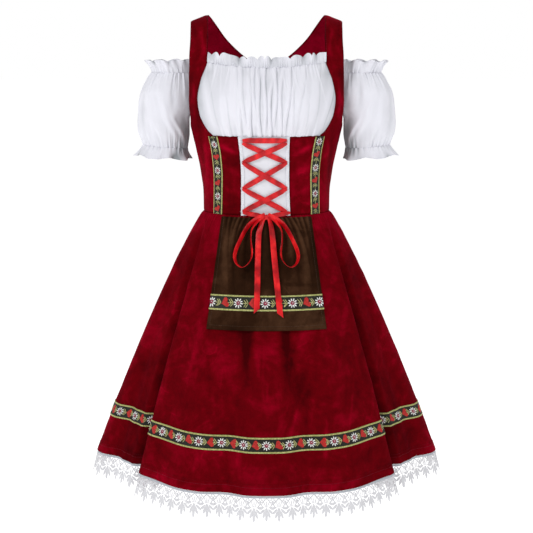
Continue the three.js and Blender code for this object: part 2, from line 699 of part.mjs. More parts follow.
function addSleeves() {
  const pieces = [
    { name: 'sleeve', sections: SLEEVE_BODY, edges: ['first row', 'last row'] },
    { name: 'sleeve_top_frill', sections: SLEEVE_FRILL, edges: ['first row'] },
    { name: 'sleeve_cuff_frill', sections: CUFF_FRILL, edges: ['first row'] },
  ];
  for (const [sideName, side] of Object.entries(SIDES)) {
    for (const { name, sections, edges } of pieces) {
      const points = seamed(sleevePoints(sections, side), edges);
      const geometry = wallGeometry(points, sleeveInside(points, sections, side), true);
      addPiece(`${name}_${sideName}`, geometry, 'cotton');
    }
  }
}

// A flat ribbon along a path. Each place gives its point and the way its face looks; an edgewise
// ribbon stands on its side instead. slant pushes one corner of the far end on and pulls the
// other back.
function ribbonGeometry(places, width, { edgewise = false, slant = 0 } = {}) {
  const last = places.length - 1;
  const rows = places.map(({ point, out }, index) => {
    const along = places[Math.min(last, index + 1)].point.clone()
      .sub(places[Math.max(0, index - 1)].point).normalize();
    const sideways = out.clone().cross(along).normalize();
    const across = edgewise ? out : sideways;
    const thick = edgewise ? sideways : out;
    const end = index === last ? slant : 0;
    return [-1, 1].map((hand) => ({
      edge: point.clone().addScaledVector(across, hand * width / 2).addScaledVector(along, hand * end),
      thick,
    }));
  });
  const face = (hand) => rows.map((row) => row.map(({ edge, thick }) => (
    edge.clone().addScaledVector(thick, hand * SATIN / 2))));
  return wallGeometry(face(1), face(-1));
}

function lacingPlace(x, z, lift) {
  const point = torsoPoint(torsoAngle(x, z), z);
  const out = torsoOut(point);
  return { point: point.addScaledVector(out, lift + SATIN / 2), out };
}

function addLacing() {
  const shares = CROSSING.map(({ share }) => share);
  const across = (side, share) => LACING_MIDDLE + side * lerp(LACING_HALF, -LACING_HALF, share);
  const bar = shares.map((share) => lacingPlace(across(SIDES.right, share), LACING_BAR_Z, LOW_LAYER));
  addPiece('lacing_bar', ribbonGeometry(bar, SATIN_WIDTH), 'satin');
  for (let cross = 0; cross < LACING_ROWS.length - 1; cross += 1) {
    for (const [name, side] of Object.entries(SIDES)) {
      const isOver = (side === SIDES.left) === (cross % 2 === 0);
      const places = CROSSING.map(({ share, over, under }) => lacingPlace(
        across(side, share),
        lerp(LACING_ROWS[cross], LACING_ROWS[cross + 1], share),
        isOver ? over : under,
      ));
      addPiece(`lacing_${name}_${cross + 1}`, ribbonGeometry(places, SATIN_WIDTH), 'satin');
    }
  }
  for (const [name, side] of Object.entries(SIDES)) {
    const tie = [
      { x: TIE_HALF, z: -376, lift: HIGH_LAYER },
      { x: 32, z: -377, lift: 5.2 },
      { x: 20, z: -378, lift: 7.2 },
      { x: 8, z: -379.2, lift: 9.4 },
    ].map(({ x, z, lift }) => lacingPlace(side * x, z, lift));
    addPiece(`lacing_tie_${name}`, ribbonGeometry(tie, SATIN_WIDTH - 1.5), 'satin');
  }
}

function addBow() {
  const knot = new THREE.SphereGeometry(1, 12, 8);
  knot.scale(KNOT.width, KNOT.depth, KNOT.height);
  const { point } = overSkirt(KNOT.x, KNOT.z, KNOT.lift);
  knot.translate(point.x, point.y, KNOT.z);
  addPiece('bow_knot', knot, 'satin');
  for (const [name, side] of Object.entries(SIDES)) {
    const loop = BOW_LOOP.map(({ x, z, lift }) => overSkirt(x * side, z, lift));
    addPiece(`bow_loop_${name}`, ribbonGeometry(loop, BOW_WIDTH, { edgewise: true }), 'satin');
    const end = BOW_ENDS[name].map(({ x, z, lift }) => overSkirt(x, z, lift));
    const slant = END_SLANT * side;
    addPiece(`bow_end_${name}`, ribbonGeometry(end, BOW_WIDTH, { slant }), 'satin');
  }
}

addBodice();
addLacingPanel();
addInsert();
addSkirt();
addApron();
addSleeves();
addLacing();
addBow();

export default dirndl;
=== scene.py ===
"""A dirndl: laced velvet bodice and flared skirt, gathered white insert, puff sleeves, small apron,
woven trims, a laced ribbon with a bow, and a lace edge under the hem. Metres, +Z up, front to -Y."""

import math

import bmesh
import bpy
import numpy as np
from mathutils import Matrix, Vector


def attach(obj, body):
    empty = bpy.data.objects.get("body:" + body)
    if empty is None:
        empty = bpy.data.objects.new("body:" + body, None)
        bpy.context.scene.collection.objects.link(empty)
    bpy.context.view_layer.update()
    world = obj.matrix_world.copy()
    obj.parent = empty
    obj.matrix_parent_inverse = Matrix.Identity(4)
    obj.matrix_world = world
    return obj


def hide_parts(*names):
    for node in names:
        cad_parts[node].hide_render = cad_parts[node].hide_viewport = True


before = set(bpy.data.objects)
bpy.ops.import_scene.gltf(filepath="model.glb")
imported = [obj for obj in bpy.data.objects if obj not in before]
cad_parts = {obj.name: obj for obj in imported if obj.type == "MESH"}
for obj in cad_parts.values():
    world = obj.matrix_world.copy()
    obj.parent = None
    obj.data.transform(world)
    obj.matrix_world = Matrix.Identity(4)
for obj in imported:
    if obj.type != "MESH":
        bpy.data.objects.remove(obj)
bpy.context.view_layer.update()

# ---------------------------------------------------------------- view, light and floor
# The dress hangs in its worn form over a plain pale floor, in soft light from large screens, and
# is seen from the front and a little above.
VIEW_MIDDLE = Vector((0, 0, -0.4955))
VIEW_DISTANCE = 3.0
VIEW_RISE = math.radians(9)
VIEW_LENS = 101.3
FLOOR_LEVEL = -1.45


def placed(name, data):
    """A new object in the scene."""
    thing = bpy.data.objects.new(name, data)
    bpy.context.scene.collection.objects.link(thing)
    return thing


def meshed(name, form):
    """A new object from a bmesh, which is freed."""
    data = bpy.data.meshes.new(name)
    form.to_mesh(data)
    form.free()
    return placed(name, data)


camera = placed("camera", bpy.data.cameras.new("camera"))
camera.data.lens = VIEW_LENS
camera.location = VIEW_MIDDLE + VIEW_DISTANCE * Vector((0, -math.cos(VIEW_RISE), math.sin(VIEW_RISE)))
camera.rotation_euler = (math.pi / 2 - VIEW_RISE, 0, 0)
bpy.context.scene.camera = camera
bpy.context.scene.view_settings.view_transform = "Standard"

SCREENS = [
    {"name": "screen_left", "place": (-2.3, -2.4, 1.9), "size": 1.1, "power": 62},
    {"name": "screen_right", "place": (2.7, -1.6, 1.2), "size": 1.3, "power": 26},
    {"name": "screen_back", "place": (0.4, 3.0, 1.6), "size": 2.0, "power": 26},
]
for screen in SCREENS:
    light = bpy.data.lights.new(screen["name"], "AREA")
    light.shape, light.size, light.energy = "DISK", screen["size"], screen["power"]
    lamp = placed(screen["name"], light)
    lamp.location = screen["place"]
    lamp.rotation_euler = (VIEW_MIDDLE - lamp.location).to_track_quat("-Z", "Y").to_euler()

# The room is white; it lights the cloth less than it shows, so that folds keep their shade.
world = bpy.data.worlds.new("room")
world.use_nodes = True
room = world.node_tree.nodes["Background"]
room.inputs["Color"].default_value = (1, 1, 1, 1)
seen = world.node_tree.nodes.new("ShaderNodeLightPath")
level = world.node_tree.nodes.new("ShaderNodeMapRange")
level.inputs["To Min"].default_value, level.inputs["To Max"].default_value = 0.46, 1.0
world.node_tree.links.new(seen.outputs["Is Camera Ray"], level.inputs["Value"])
world.node_tree.links.new(level.outputs["Result"], room.inputs["Strength"])
bpy.context.scene.world = world

floor_mesh = bmesh.new()
bmesh.ops.create_grid(floor_mesh, x_segments=1, y_segments=1, size=40,
                      matrix=Matrix.Translation((0, 0, FLOOR_LEVEL)))
floor = meshed("floor", floor_mesh)
paint = bpy.data.materials.new("floor_paint")
paint.use_nodes = True
for socket, value in (("Base Color", (0.9, 0.9, 0.9, 1)), ("Roughness", 0.9),
                      ("Emission Color", (1, 1, 1, 1)), ("Emission Strength", 0.62)):
    paint.node_tree.nodes["Principled BSDF"].inputs[socket].default_value = value
floor.data.materials.append(paint)

# ---------------------------------------------------------------- bodice
# Crimson velvet cut as side fronts in one with the shoulder straps, centre fronts, and two backs
# joined at the centre back. Panels are turned in and sewn edge to edge.
MM = 0.001
HANDS = (("left", 1), ("right", -1))
HALVES = (("front", True), ("back", False))
VELVET = 2 * MM
SEAM_GAP = 0.05 * MM
WAIST = -0.382
BUST_SEAM = -0.229
STRAP_NECK = 0.1138
SHOULDER_FALL = 0.37
SHOULDER_ROUND = 0.070

# Half width, front depth and back depth of the body of the dress, from the waist up.
TORSO_LEVELS = np.array([-0.382, -0.337, -0.309, -0.266, -0.229, -0.2, -0.169, -0.135, -0.1, -0.06, 0.01])
TORSO_WIDTH = np.array([0.1246, 0.1255, 0.129, 0.137, 0.146, 0.153, 0.161, 0.168, 0.178, 0.19, 0.201])
TORSO_FRONT = np.array([0.095, 0.097, 0.1, 0.106, 0.114, 0.122, 0.127, 0.12, 0.106, 0.088, 0.078])
TORSO_BACK = np.array([0.084, 0.085, 0.087, 0.092, 0.097, 0.101, 0.104, 0.106, 0.106, 0.1, 0.094])


def through(places, values, at, steady=False):
    """Values on a smooth curve through a table's rows. A steady curve never passes a row's value."""
    last = len(places) - 1
    high = np.clip(np.searchsorted(places, at), 1, last)
    low = high - 1
    rises = np.diff(values) / np.diff(places)
    index = np.arange(last + 1)
    before, after = np.maximum(index - 1, 0), np.minimum(index + 1, last)
    slopes = (values[after] - values[before]) / (places[after] - places[before])
    if steady:
        left, right = rises[np.maximum(index - 1, 0)], rises[np.minimum(index, last - 1)]
        both = left * right
        slopes = np.where(both > 0, 2 * both / np.where(both > 0, left + right, 1), 0)
    span = places[high] - places[low]
    t = (at - places[low]) / span
    return ((2 * t**3 - 3 * t**2 + 1) * values[low] + (t**3 - 2 * t**2 + t) * span * slopes[low]
            + (3 * t**2 - 2 * t**3) * values[high] + (t**3 - t**2) * span * slopes[high])


def torso_depth(z, ahead):
    """The body's depth at a level, in front of or behind its middle."""
    return np.where(ahead > 0, through(TORSO_LEVELS, TORSO_FRONT, z), through(TORSO_LEVELS, TORSO_BACK, z))


def shoulder_share(x, z):
    """The square of the share of the depth left where the cloth rounds over the shoulder."""
    top = VELVET - SHOULDER_FALL * (np.abs(x) - STRAP_NECK)
    below = np.minimum(1, (top - z) / SHOULDER_ROUND)
    return 1 - (1 - below) ** 2


def torso(angle, z):
    """Points on the outside of the bodice, at angles in degrees round it from the centre front."""
    x = through(TORSO_LEVELS, TORSO_WIDTH, z) * np.sin(np.radians(angle))
    ahead = np.cos(np.radians(angle))
    rounded = np.sqrt(np.maximum(0, shoulder_share(x, z)))
    return np.stack([x, -torso_depth(z, ahead) * ahead * rounded, z], axis=-1)


def unit(ways):
    """Directions brought to length 1."""
    return ways / np.linalg.norm(ways, axis=-1, keepdims=True)


def torso_out(points):
    """The directions out of the body at points of the bodice."""
    def inside(p):
        x, y, z = p[..., 0], p[..., 1], p[..., 2]
        deep = torso_depth(z, -points[..., 1])
        return (y / deep) ** 2 - (1 - (x / through(TORSO_LEVELS, TORSO_WIDTH, z)) ** 2) * shoulder_share(x, z)
    step = np.eye(3) * 0.05 * MM
    return unit(np.stack([inside(points + s) - inside(points - s) for s in step], axis=-1))


def torso_angle(x, z):
    """The angle round the body, in degrees from the centre front, of a place across at a level."""
    return np.degrees(np.arcsin(np.clip(x / through(TORSO_LEVELS, TORSO_WIDTH, z), -1, 1)))


def hump(off, width):
    """The height of a smooth hump of height 1, at a distance off its middle."""
    return np.exp(-(off / width) ** 2)


def drawn_in(share, much):
    """Shares across a piece with its rows drawn in towards the two edges."""
    return share - much * np.sin(2 * np.pi * share) / (2 * np.pi)


def crease(u, v, start, end, width, height):
    """The height of one soft crease along a line, thinner at its ends, at places u, v."""
    start, end = np.array(start), np.array(end)
    along = end - start
    share = ((u - start[0]) * along[0] + (v - start[1]) * along[1]) / (along @ along)
    off = ((u - start[0]) * along[1] - (v - start[1]) * along[0]) / np.sqrt(along @ along)
    inside = np.clip(share, 0, 1)
    past = (share - inside) * np.sqrt(along @ along)
    taper = 0.25 + 0.75 * np.sin(np.pi * inside)
    return height * taper * np.exp(-(off / width) ** 2 - (past / (1.5 * width)) ** 2)


def creases_along(u, v, lines):
    """Creases along lines of start, end, and width and height in millimetres."""
    return sum(crease(u, v, start, end, width * MM, height * MM) for start, end, width, height in lines)


def scattered_creases(u, v, box, count, length, width, height, lean, seed):
    """Small creases of crushed cloth at random places in a box, most of them near one lean."""
    chance = np.random.default_rng(seed)
    total = np.zeros_like(u)
    for _ in range(count):
        start = np.array([chance.uniform(box[0], box[1]), chance.uniform(box[2], box[3])])
        turn = math.radians(lean + chance.normal(0, 16))
        reach = length * chance.uniform(0.4, 1.3)
        end = start + reach * np.array([math.sin(turn), math.cos(turn)])
        high = height * chance.uniform(0.3, 1) * chance.choice([-0.8, 1])
        total += crease(u, v, start, end, width * chance.uniform(0.6, 1.6), high)
    return total


def grid_of(across, along):
    """A flat grid from 0 to 1 both ways."""
    grid = bmesh.new()
    bmesh.ops.create_grid(grid, x_segments=across, y_segments=along, size=0.5,
                          matrix=Matrix.Translation((0.5, 0.5, 0)))
    return grid


def woven(form, size):
    """Lays the cloth's weave over a flat grid by its flat size, and returns the grid's shares."""
    shares = np.array([vert.co[:2] for vert in form.verts])
    weave = form.loops.layers.uv.new("weave")
    for face in form.faces:
        for loop in face.loops:
            loop[weave].uv = shares[loop.vert.index] * size
    return shares


def sewn(name, node, finish, across, along, place, wall, sheet, closed=False):
    """One sewn piece: a flat grid of cloth, each point placed by the piece's form, given its wall.
    A second finish is the cloth's wrong side.

    place(u, v) takes shares across and up the piece and returns points, and the painted light and shade on
    them."""
    cloth = grid_of(across, along)
    shares = woven(cloth, sheet["flat"])
    points, painted_shading = place(shares[:, 0], shares[:, 1])
    # Each point keeps its painted light and shade, which the finishes read into their colour.
    painted_shading_layer = cloth.verts.layers.float.new("painted_shading")
    for vert, point, bright in zip(cloth.verts, points, painted_shading):
        vert.co = point
        vert[painted_shading_layer] = bright
    if closed:
        bmesh.ops.remove_doubles(cloth, verts=cloth.verts, dist=0.01 * MM)
    cloth.normal_update()
    middle = points.mean(axis=0) if closed else np.zeros(3)
    facing = sum(face.normal.xy.dot(face.calc_center_median().xy - Vector(middle[:2])) * face.calc_area()
                 for face in cloth.faces)
    if facing < 0:
        bmesh.ops.reverse_faces(cloth, faces=cloth.faces)
    piece = meshed(name, cloth)
    shell = piece.modifiers.new("wall", "SOLIDIFY")
    shell.thickness, shell.offset = wall, -1
    if isinstance(finish, list):
        shell.material_offset = 1
        for side_finish in finish:
            piece.data.materials.append(side_finish)
    return kept(piece, node, finish)


def applied(piece):
    """Applies a piece's modifiers, and returns its new mesh."""
    solid = bpy.data.meshes.new_from_object(piece.evaluated_get(bpy.context.evaluated_depsgraph_get()))
    piece.modifiers.clear()
    piece.data = solid
    return solid


def kept(piece, node, finishes):
    """Applies a piece's modifiers, gives it its finish, and ties it to the frame."""
    solid = applied(piece)
    solid.name = piece.name
    solid.shade_smooth()
    solid.set_sharp_from_angle(angle=math.radians(48))
    for finish in finishes if isinstance(finishes, list) else [finishes]:
        if finish.name not in solid.materials:
            solid.materials.append(finish)
    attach(piece, "root")
    if node:
        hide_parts(node)
    return piece


def finish_of(name, roughness, sheen=0.0, sheen_tint=(1, 1, 1), sheen_roughness=0.4, specular=0.5):
    """A new cloth material and its shader, with the settings that are the same all over."""
    material = bpy.data.materials.new(name)
    material.use_nodes = True
    shader = material.node_tree.nodes["Principled BSDF"]
    shader.inputs["Roughness"].default_value = roughness
    shader.inputs["Sheen Weight"].default_value = sheen
    shader.inputs["Sheen Tint"].default_value = (*sheen_tint, 1)
    shader.inputs["Sheen Roughness"].default_value = sheen_roughness
    shader.inputs["Specular IOR Level"].default_value = specular
    return material, shader


def add_node(material, kind, settings=None, **inputs):
    """A shader node with its settings and inputs; an input is a value or another node's output."""
    made = material.node_tree.nodes.new(kind)
    for key, value in (settings or {}).items():
        setattr(made, key, value)
    for key, value in inputs.items():
        socket = made.inputs[int(key[1:])] if key[0] == "_" else made.inputs[key]
        if isinstance(value, bpy.types.NodeSocket):
            material.node_tree.links.new(value, socket)
        else:
            socket.default_value = value
    return made


def ramp_of(material, share, stops):
    """A colour ramp through stops of (place, colour)."""
    ramp = add_node(material, "ShaderNodeValToRGB", Fac=share)
    while len(ramp.color_ramp.elements) < len(stops):
        ramp.color_ramp.elements.new(0.5)
    for element, (place, colour) in zip(ramp.color_ramp.elements, stops):
        element.position, element.color = place, (*colour, 1)
    return ramp.outputs["Color"]


def reckoned(material, operation, *values):
    """The outcome of one sum on values or other nodes' outputs."""
    places = {f"_{place}": value for place, value in enumerate(values)}
    return add_node(material, "ShaderNodeMath", {"operation": operation}, **places).outputs["Value"]


def ranged(material, value, low, high, at_low, at_high):
    """A value's range stretched to another one, and held at its two ends."""
    return add_node(material, "ShaderNodeMapRange", _0=value, _1=low, _2=high, _3=at_low,
                    _4=at_high).outputs["Result"]


def noise_of(material, place, scale, detail, **more):
    """A cloudy pattern, as shares from 0 to 1."""
    return add_node(material, "ShaderNodeTexNoise", Vector=place, Scale=scale, Detail=detail,
                    **more).outputs["Fac"]


def painted_shading_of(material):
    """Painted light and shade: how far a piece's own shape lightens or darkens its cloth's colour."""
    return add_node(material, "ShaderNodeAttribute", {"attribute_name": "painted_shading"}).outputs["Fac"]


def finished(material, shader, colour, height, strength, depth):
    """Gives a finish its colour, and its surface a relief of some strength and depth."""
    bump = add_node(material, "ShaderNodeBump", Strength=strength, Distance=depth, Height=height)
    material.node_tree.links.new(colour, shader.inputs["Base Color"])
    material.node_tree.links.new(bump.outputs["Normal"], shader.inputs["Normal"])
    return material


def velvet_finish(name, deep, middle, bright, tint):
    """Velvet: a short pile with a soft sheen, crushed in patches and along fine crease lines, and given
    painted light and shade from each piece's shape.
    """
    material, shader = finish_of(name, 0.95, sheen=0.22, sheen_tint=tint, sheen_roughness=0.35,
                                 specular=0.03)
    place = add_node(material, "ShaderNodeTexCoord").outputs["Object"]
    crushed = noise_of(material, place, 13.0, 5.0, Roughness=0.62, Distortion=0.6)
    fine = noise_of(material, place, 62.0, 4.0, Roughness=0.7)
    wander = noise_of(material, place, 9.0, 1.0, Distortion=1.1)
    off_line = reckoned(material, "ABSOLUTE", reckoned(material, "SUBTRACT", wander, 0.5))
    line = ranged(material, off_line, 0.0, 0.008, 1.0, 0.0)
    where_crushed = ranged(material, crushed, 0.48, 0.66, 0.0, 0.17)
    # The crushed patches, with the piece's painted light and shade added to them.
    crushed_and_painted_shading = reckoned(material, "MULTIPLY_ADD", crushed, 0.85, painted_shading_of(material))
    mottled = reckoned(material, "MULTIPLY_ADD", fine, 0.34, crushed_and_painted_shading)
    creased = reckoned(material, "ADD", mottled, reckoned(material, "MULTIPLY", line, where_crushed))
    colour = ramp_of(material, creased, [(0.36, deep), (0.66, middle), (1.0, bright)])
    pile = noise_of(material, place, 1500.0, 2.0)
    relief = reckoned(material, "MULTIPLY_ADD", crushed, 2.4, pile)
    return finished(material, shader, colour, relief, 0.4, 0.8 * MM)


crimson_velvet = velvet_finish("crimson_velvet", (0.045, 0.0, 0.001), (0.12, 0.0, 0.0025),
                               (0.31, 0.0, 0.013), (1.0, 0.0, 0.08))
# Painted light: the inside of the backs, seen through the neckline, is the same velvet painted much lighter
# because it gets little light.
crimson_inside_painted_light = velvet_finish("crimson_inside_painted_light", (0.13, 0.0, 0.004), (0.27, 0.0, 0.014),
                               (0.48, 0.004, 0.04), (1.0, 0.0, 0.08))

# Rows of a side front and its strap, from the waist up: level, inner edge, armhole edge or None at
# the side seam. A row with a turn instead of a level lies that many degrees short of the shoulder.
SIDE_FRONT = [
    (-0.382, None, 0.095, None), (-0.345, None, 0.094, None), (-0.309, None, 0.0935, None),
    (-0.266, None, 0.0965, None), (-0.229, None, 0.103, None), (-0.219, None, 0.1134, None),
    (-0.205, None, 0.1225, 0.1492), (-0.19, None, 0.129, 0.15), (-0.16, None, 0.1332, 0.151),
    (-0.124, None, 0.1267, 0.1506), (-0.087, None, 0.113, 0.1493), (None, 66, 0.1123, 0.1475),
    (None, 42, 0.1126, 0.147), (None, 20, 0.1134, 0.1476), (None, 0, 0.1138, 0.148),
]
# The lacing panel sits a little towards the wearer's right. Rows of level, princess seam, and the
# lacing panel's left and right edges.
PANEL_ROWS = np.array([
    (-0.382, 0.095, 0.0458, 0.0490), (-0.345, 0.094, 0.0440, 0.0484), (-0.309, 0.0935, 0.0430, 0.0482),
    (-0.266, 0.0965, 0.0430, 0.0503), (-0.229, 0.103, 0.0440, 0.0543),
])
BACK = [
    (-0.382, None, 0, None), (-0.33, None, 0, None), (-0.28, None, 0, None), (-0.229, None, 0, None),
    (-0.205, None, 0, 0.1492), (-0.16, None, 0, 0.151), (-0.124, None, 0, 0.1506),
    (-0.098, None, 0, 0.1498), (-0.094, None, 0.025, 0.1496), (-0.082, None, 0.043, 0.149),
    (-0.062, None, 0.066, 0.148), (-0.044, None, 0.0825, 0.1472), (None, 55, 0.0975, 0.147),
    (None, 35, 0.1065, 0.1472), (None, 17, 0.1118, 0.1477), (None, 0, 0.1138, 0.148),
]


def lengths_along(points):
    """The length of a line of points from its start to each of them."""
    return np.concatenate([[0], np.cumsum(np.linalg.norm(np.diff(points, axis=0), axis=1))])


def panel_edges(rows):
    """The angles and levels of a panel's two edges, along shares of its length."""
    edges = []
    for level, turn, inner, outer in rows:
        for x in (inner, outer):
            if turn is None:
                z = level
            else:
                top = VELVET - SHOULDER_FALL * (abs(x) - STRAP_NECK)
                z = top - SHOULDER_ROUND * (1 - math.cos(math.radians(turn)))
            edges.append((90.0 if x is None else float(torso_angle(np.array(x), np.array(z))), z))
    edges = np.array(edges).reshape(len(rows), 2, 2)
    middle = torso(edges[:, :, 0].mean(axis=1), edges[:, :, 1].mean(axis=1))
    length = lengths_along(middle)
    return edges, length / length[-1]


def panel(rows, side, back=False, creases=None):
    """The placing of a bodice panel, with its edges turned in towards the seams."""
    edges, shares = panel_edges(rows)

    def place(u, v):
        u, v = drawn_in(u, 0.8), drawn_in(v, 0.6)
        inner, inner_z, outer, outer_z = (through(shares, edges[:, hand, what], v, steady=True)
                                          for hand in (0, 1) for what in (0, 1))
        width = np.linalg.norm(torso(inner, inner_z) - torso(outer, outer_z), axis=-1)
        pull = SEAM_GAP / 2 / width
        share = pull + u * (1 - 2 * pull)
        angle = inner + (outer - inner) * share
        z = inner_z + (outer_z - inner_z) * share
        z = z + SEAM_GAP / 2 * (hump(v, 0.01) - hump(1 - v, 0.01))
        points = torso(180 - angle if back else angle, z)
        points[:, 0] *= side
        edge = np.minimum(u, 1 - u) * width
        ends = np.minimum(v, 1 - v) * (0.17 if len(rows) < 7 else 0.42)
        rolled = 1.1 * MM * (hump(edge, 2.2 * MM) + hump(ends, 2.2 * MM))
        relief = creases(points[:, 0] * side, points[:, 2]) if creases else 0 * u
        points += torso_out(points) * (relief - np.minimum(rolled, 1.3 * MM))[:, None]
        # Painted light on the creases' ridges and painted shade where the edges roll in.
        return points, 0.05 + 0.2 * relief / MM - 0.12 * rolled / MM
    return place


def centre_front_creases(x, z):
    """Faint drags from the lacing across the centre front panel."""
    drags = [((0.052, -0.262), (0.09, -0.245), 5, 0.6), ((0.05, -0.30), (0.088, -0.285), 6, 0.7),
             ((0.052, -0.345), (0.086, -0.325), 5, 0.8), ((0.058, -0.36), (0.092, -0.372), 6, -0.5)]
    return creases_along(x, z, drags) + scattered_creases(x, z, (0.04, 0.1, -0.38, -0.24), 22, 0.035,
                                                          3 * MM, 0.6 * MM, 60, 3)


def side_front_creases(x, z):
    """Soft upright creases of the side front, and drags under the arm."""
    drags = [((0.118, -0.25), (0.112, -0.375), 5, 0.8), ((0.13, -0.2), (0.121, -0.31), 5, -0.7),
             ((0.142, -0.12), (0.139, -0.21), 4, 0.6), ((0.106, -0.3), (0.104, -0.37), 4, 0.5)]
    return creases_along(x, z, drags) + scattered_creases(x, z, (0.1, 0.15, -0.38, -0.03), 40, 0.05,
                                                          3.2 * MM, 0.7 * MM, 4, 4)


def back_creases(x, z):
    """Soft creases across the back above the waist, and upright ones below the shoulders."""
    drags = [((0.02, -0.35), (0.1, -0.362), 6, 0.8), ((0.015, -0.325), (0.085, -0.33), 6, -0.6),
             ((0.06, -0.12), (0.052, -0.24), 7, 0.6), ((0.1, -0.1), (0.085, -0.25), 7, -0.5)]
    return creases_along(x, z, drags) + scattered_creases(x, z, (0, 0.15, -0.38, -0.06), 40, 0.05,
                                                          4 * MM, 0.4 * MM, 8, 5)


for hand, side in HANDS:
    sewn(f"velvet_side_front_{hand}", f"bodice_side_front_{hand}", crimson_velvet, 44, 140,
         panel(SIDE_FRONT, side, creases=side_front_creases), VELVET,
         dict(flat=(0.115, 0.42), held="stretched", area=0.0235))
    centre_front = [(z, None, seam, left if side > 0 else right) for z, seam, left, right in PANEL_ROWS]
    sewn(f"velvet_centre_front_{hand}", f"bodice_centre_front_{hand}", crimson_velvet, 34, 80,
         panel(centre_front, side, creases=centre_front_creases), VELVET,
         dict(flat=(0.06, 0.158), held="stretched", area=0.0085))
    sewn(f"velvet_back_{hand}", f"bodice_back_{hand}", [crimson_velvet, crimson_inside_painted_light], 60, 120,
         panel(BACK, side, back=True, creases=back_creases), VELVET,
         dict(flat=(0.20, 0.40), held="stretched", area=0.052))

# ---------------------------------------------------------------- lacing panel
# A smooth white cotton panel behind the lacing, with a stitched binding down each side.
COTTON = 1.5 * MM
RIBBON = 1.2 * MM
BINDING_WIDTH = 6 * MM


def cotton_finish(name, colour, shade, crinkle):
    """White cotton: a plain weave, faint cool shade in its hollows, and a dry crinkle."""
    material, shader = finish_of(name, 0.85, sheen=0.25, sheen_roughness=0.5, specular=0.25)
    weave = add_node(material, "ShaderNodeUVMap", {"uv_map": "weave"}).outputs["UV"]
    place = add_node(material, "ShaderNodeTexCoord").outputs["Object"]
    soft = noise_of(material, place, 30.0, 4.0)
    tone = reckoned(material, "MULTIPLY_ADD", soft, 0.14, painted_shading_of(material))
    half_shade = [0.25 * dark + 0.75 * light for dark, light in zip(shade, colour)]
    base = ramp_of(material, tone, [(0.0, shade), (0.16, half_shade), (0.3, colour)])
    threads = [add_node(material, "ShaderNodeTexWave", {"bands_direction": way}, Vector=weave,
                        Scale=330.0, Distortion=0.6).outputs["Fac"] for way in ("X", "Y")]
    crepe = noise_of(material, place, 260.0, 3.0)
    relief = reckoned(material, "MULTIPLY_ADD", crepe, crinkle, reckoned(material, "MULTIPLY", *threads))
    return finished(material, shader, base, relief, 0.3, 0.4 * MM)


white_cotton = cotton_finish("white_cotton", (0.72, 0.72, 0.77), (0.40, 0.42, 0.46), 0.6)


def panel_row(column, z):
    """Where an edge in a column of the panel's rows is, at a level."""
    return through(PANEL_ROWS[:, 0], PANEL_ROWS[:, column], z, steady=True)


def panel_level(share):
    """The level at a share of the way up the lacing panel."""
    return WAIST + SEAM_GAP / 2 + share * (BUST_SEAM - WAIST - SEAM_GAP)


def lacing_panel(u, v):
    """The panel lies on the body between the two centre fronts, smooth but for faint dimples."""
    z = panel_level(v)
    left, right = (panel_row(edge, z) - SEAM_GAP / 2 for edge in (2, 3))
    points = torso(torso_angle(u * left - (1 - u) * right, z), z)
    relief = scattered_creases(points[:, 0], z, (-0.04, 0.04, -0.38, -0.24), 14, 0.03, 5 * MM,
                               0.35 * MM, 0, 6)
    # Painted light and shade from the dimples' relief.
    return points + torso_out(points) * relief[:, None], 0.2 + 0.1 * relief / MM


def binding(side):
    """A narrow folded band over the panel's edge, domed across."""
    def place(u, v):
        z = panel_level(v)
        outer = panel_row(2 if side > 0 else 3, z) - SEAM_GAP / 2
        x = side * (outer - BINDING_WIDTH * (1 - u))
        points = torso(torso_angle(x, z), z)
        twist = np.sin(v * 215 + 2.2 * u)
        domed = SEAM_GAP + RIBBON + (0.5 + 0.4 * twist) * MM * np.sin(np.pi * u)
        # Painted shade in the hollows of the binding's twist.
        return points + torso_out(points) * domed[:, None], 0.22 + 0.2 * np.minimum(twist + 0.35, 0)
    return place


sewn("cotton_lacing_panel", "lacing_panel", white_cotton, 40, 60, lacing_panel, COTTON,
     dict(flat=(0.105, 0.158), held="stretched"))
for hand, side in HANDS:
    sewn(f"cotton_binding_{hand}", f"lacing_binding_{hand}", white_cotton, 6, 220,
         binding(side), RIBBON, dict(flat=(0.012, 0.156), held="folded", area=0.0012,
                                     rests_on=["cotton_lacing_panel"]))

# ---------------------------------------------------------------- bust insert
# White crepe cotton, twice as wide as its place: gathered on elastic above and into the seam
# below, so that it puffs out between them, with a frill standing over the elastic.
INSERT_TOP = -0.087
INSERT_PUFF = 5 * MM
ELASTIC_DIP = 10.5 * MM
FRILL_HALF = 0.1128
white_crepe = cotton_finish("white_crepe", (0.74, 0.74, 0.80), (0.27, 0.29, 0.31), 1.6)

insert_rows = np.array([(row[0], row[2]) for row in SIDE_FRONT if row[0] is not None and row[0] >= BUST_SEAM])


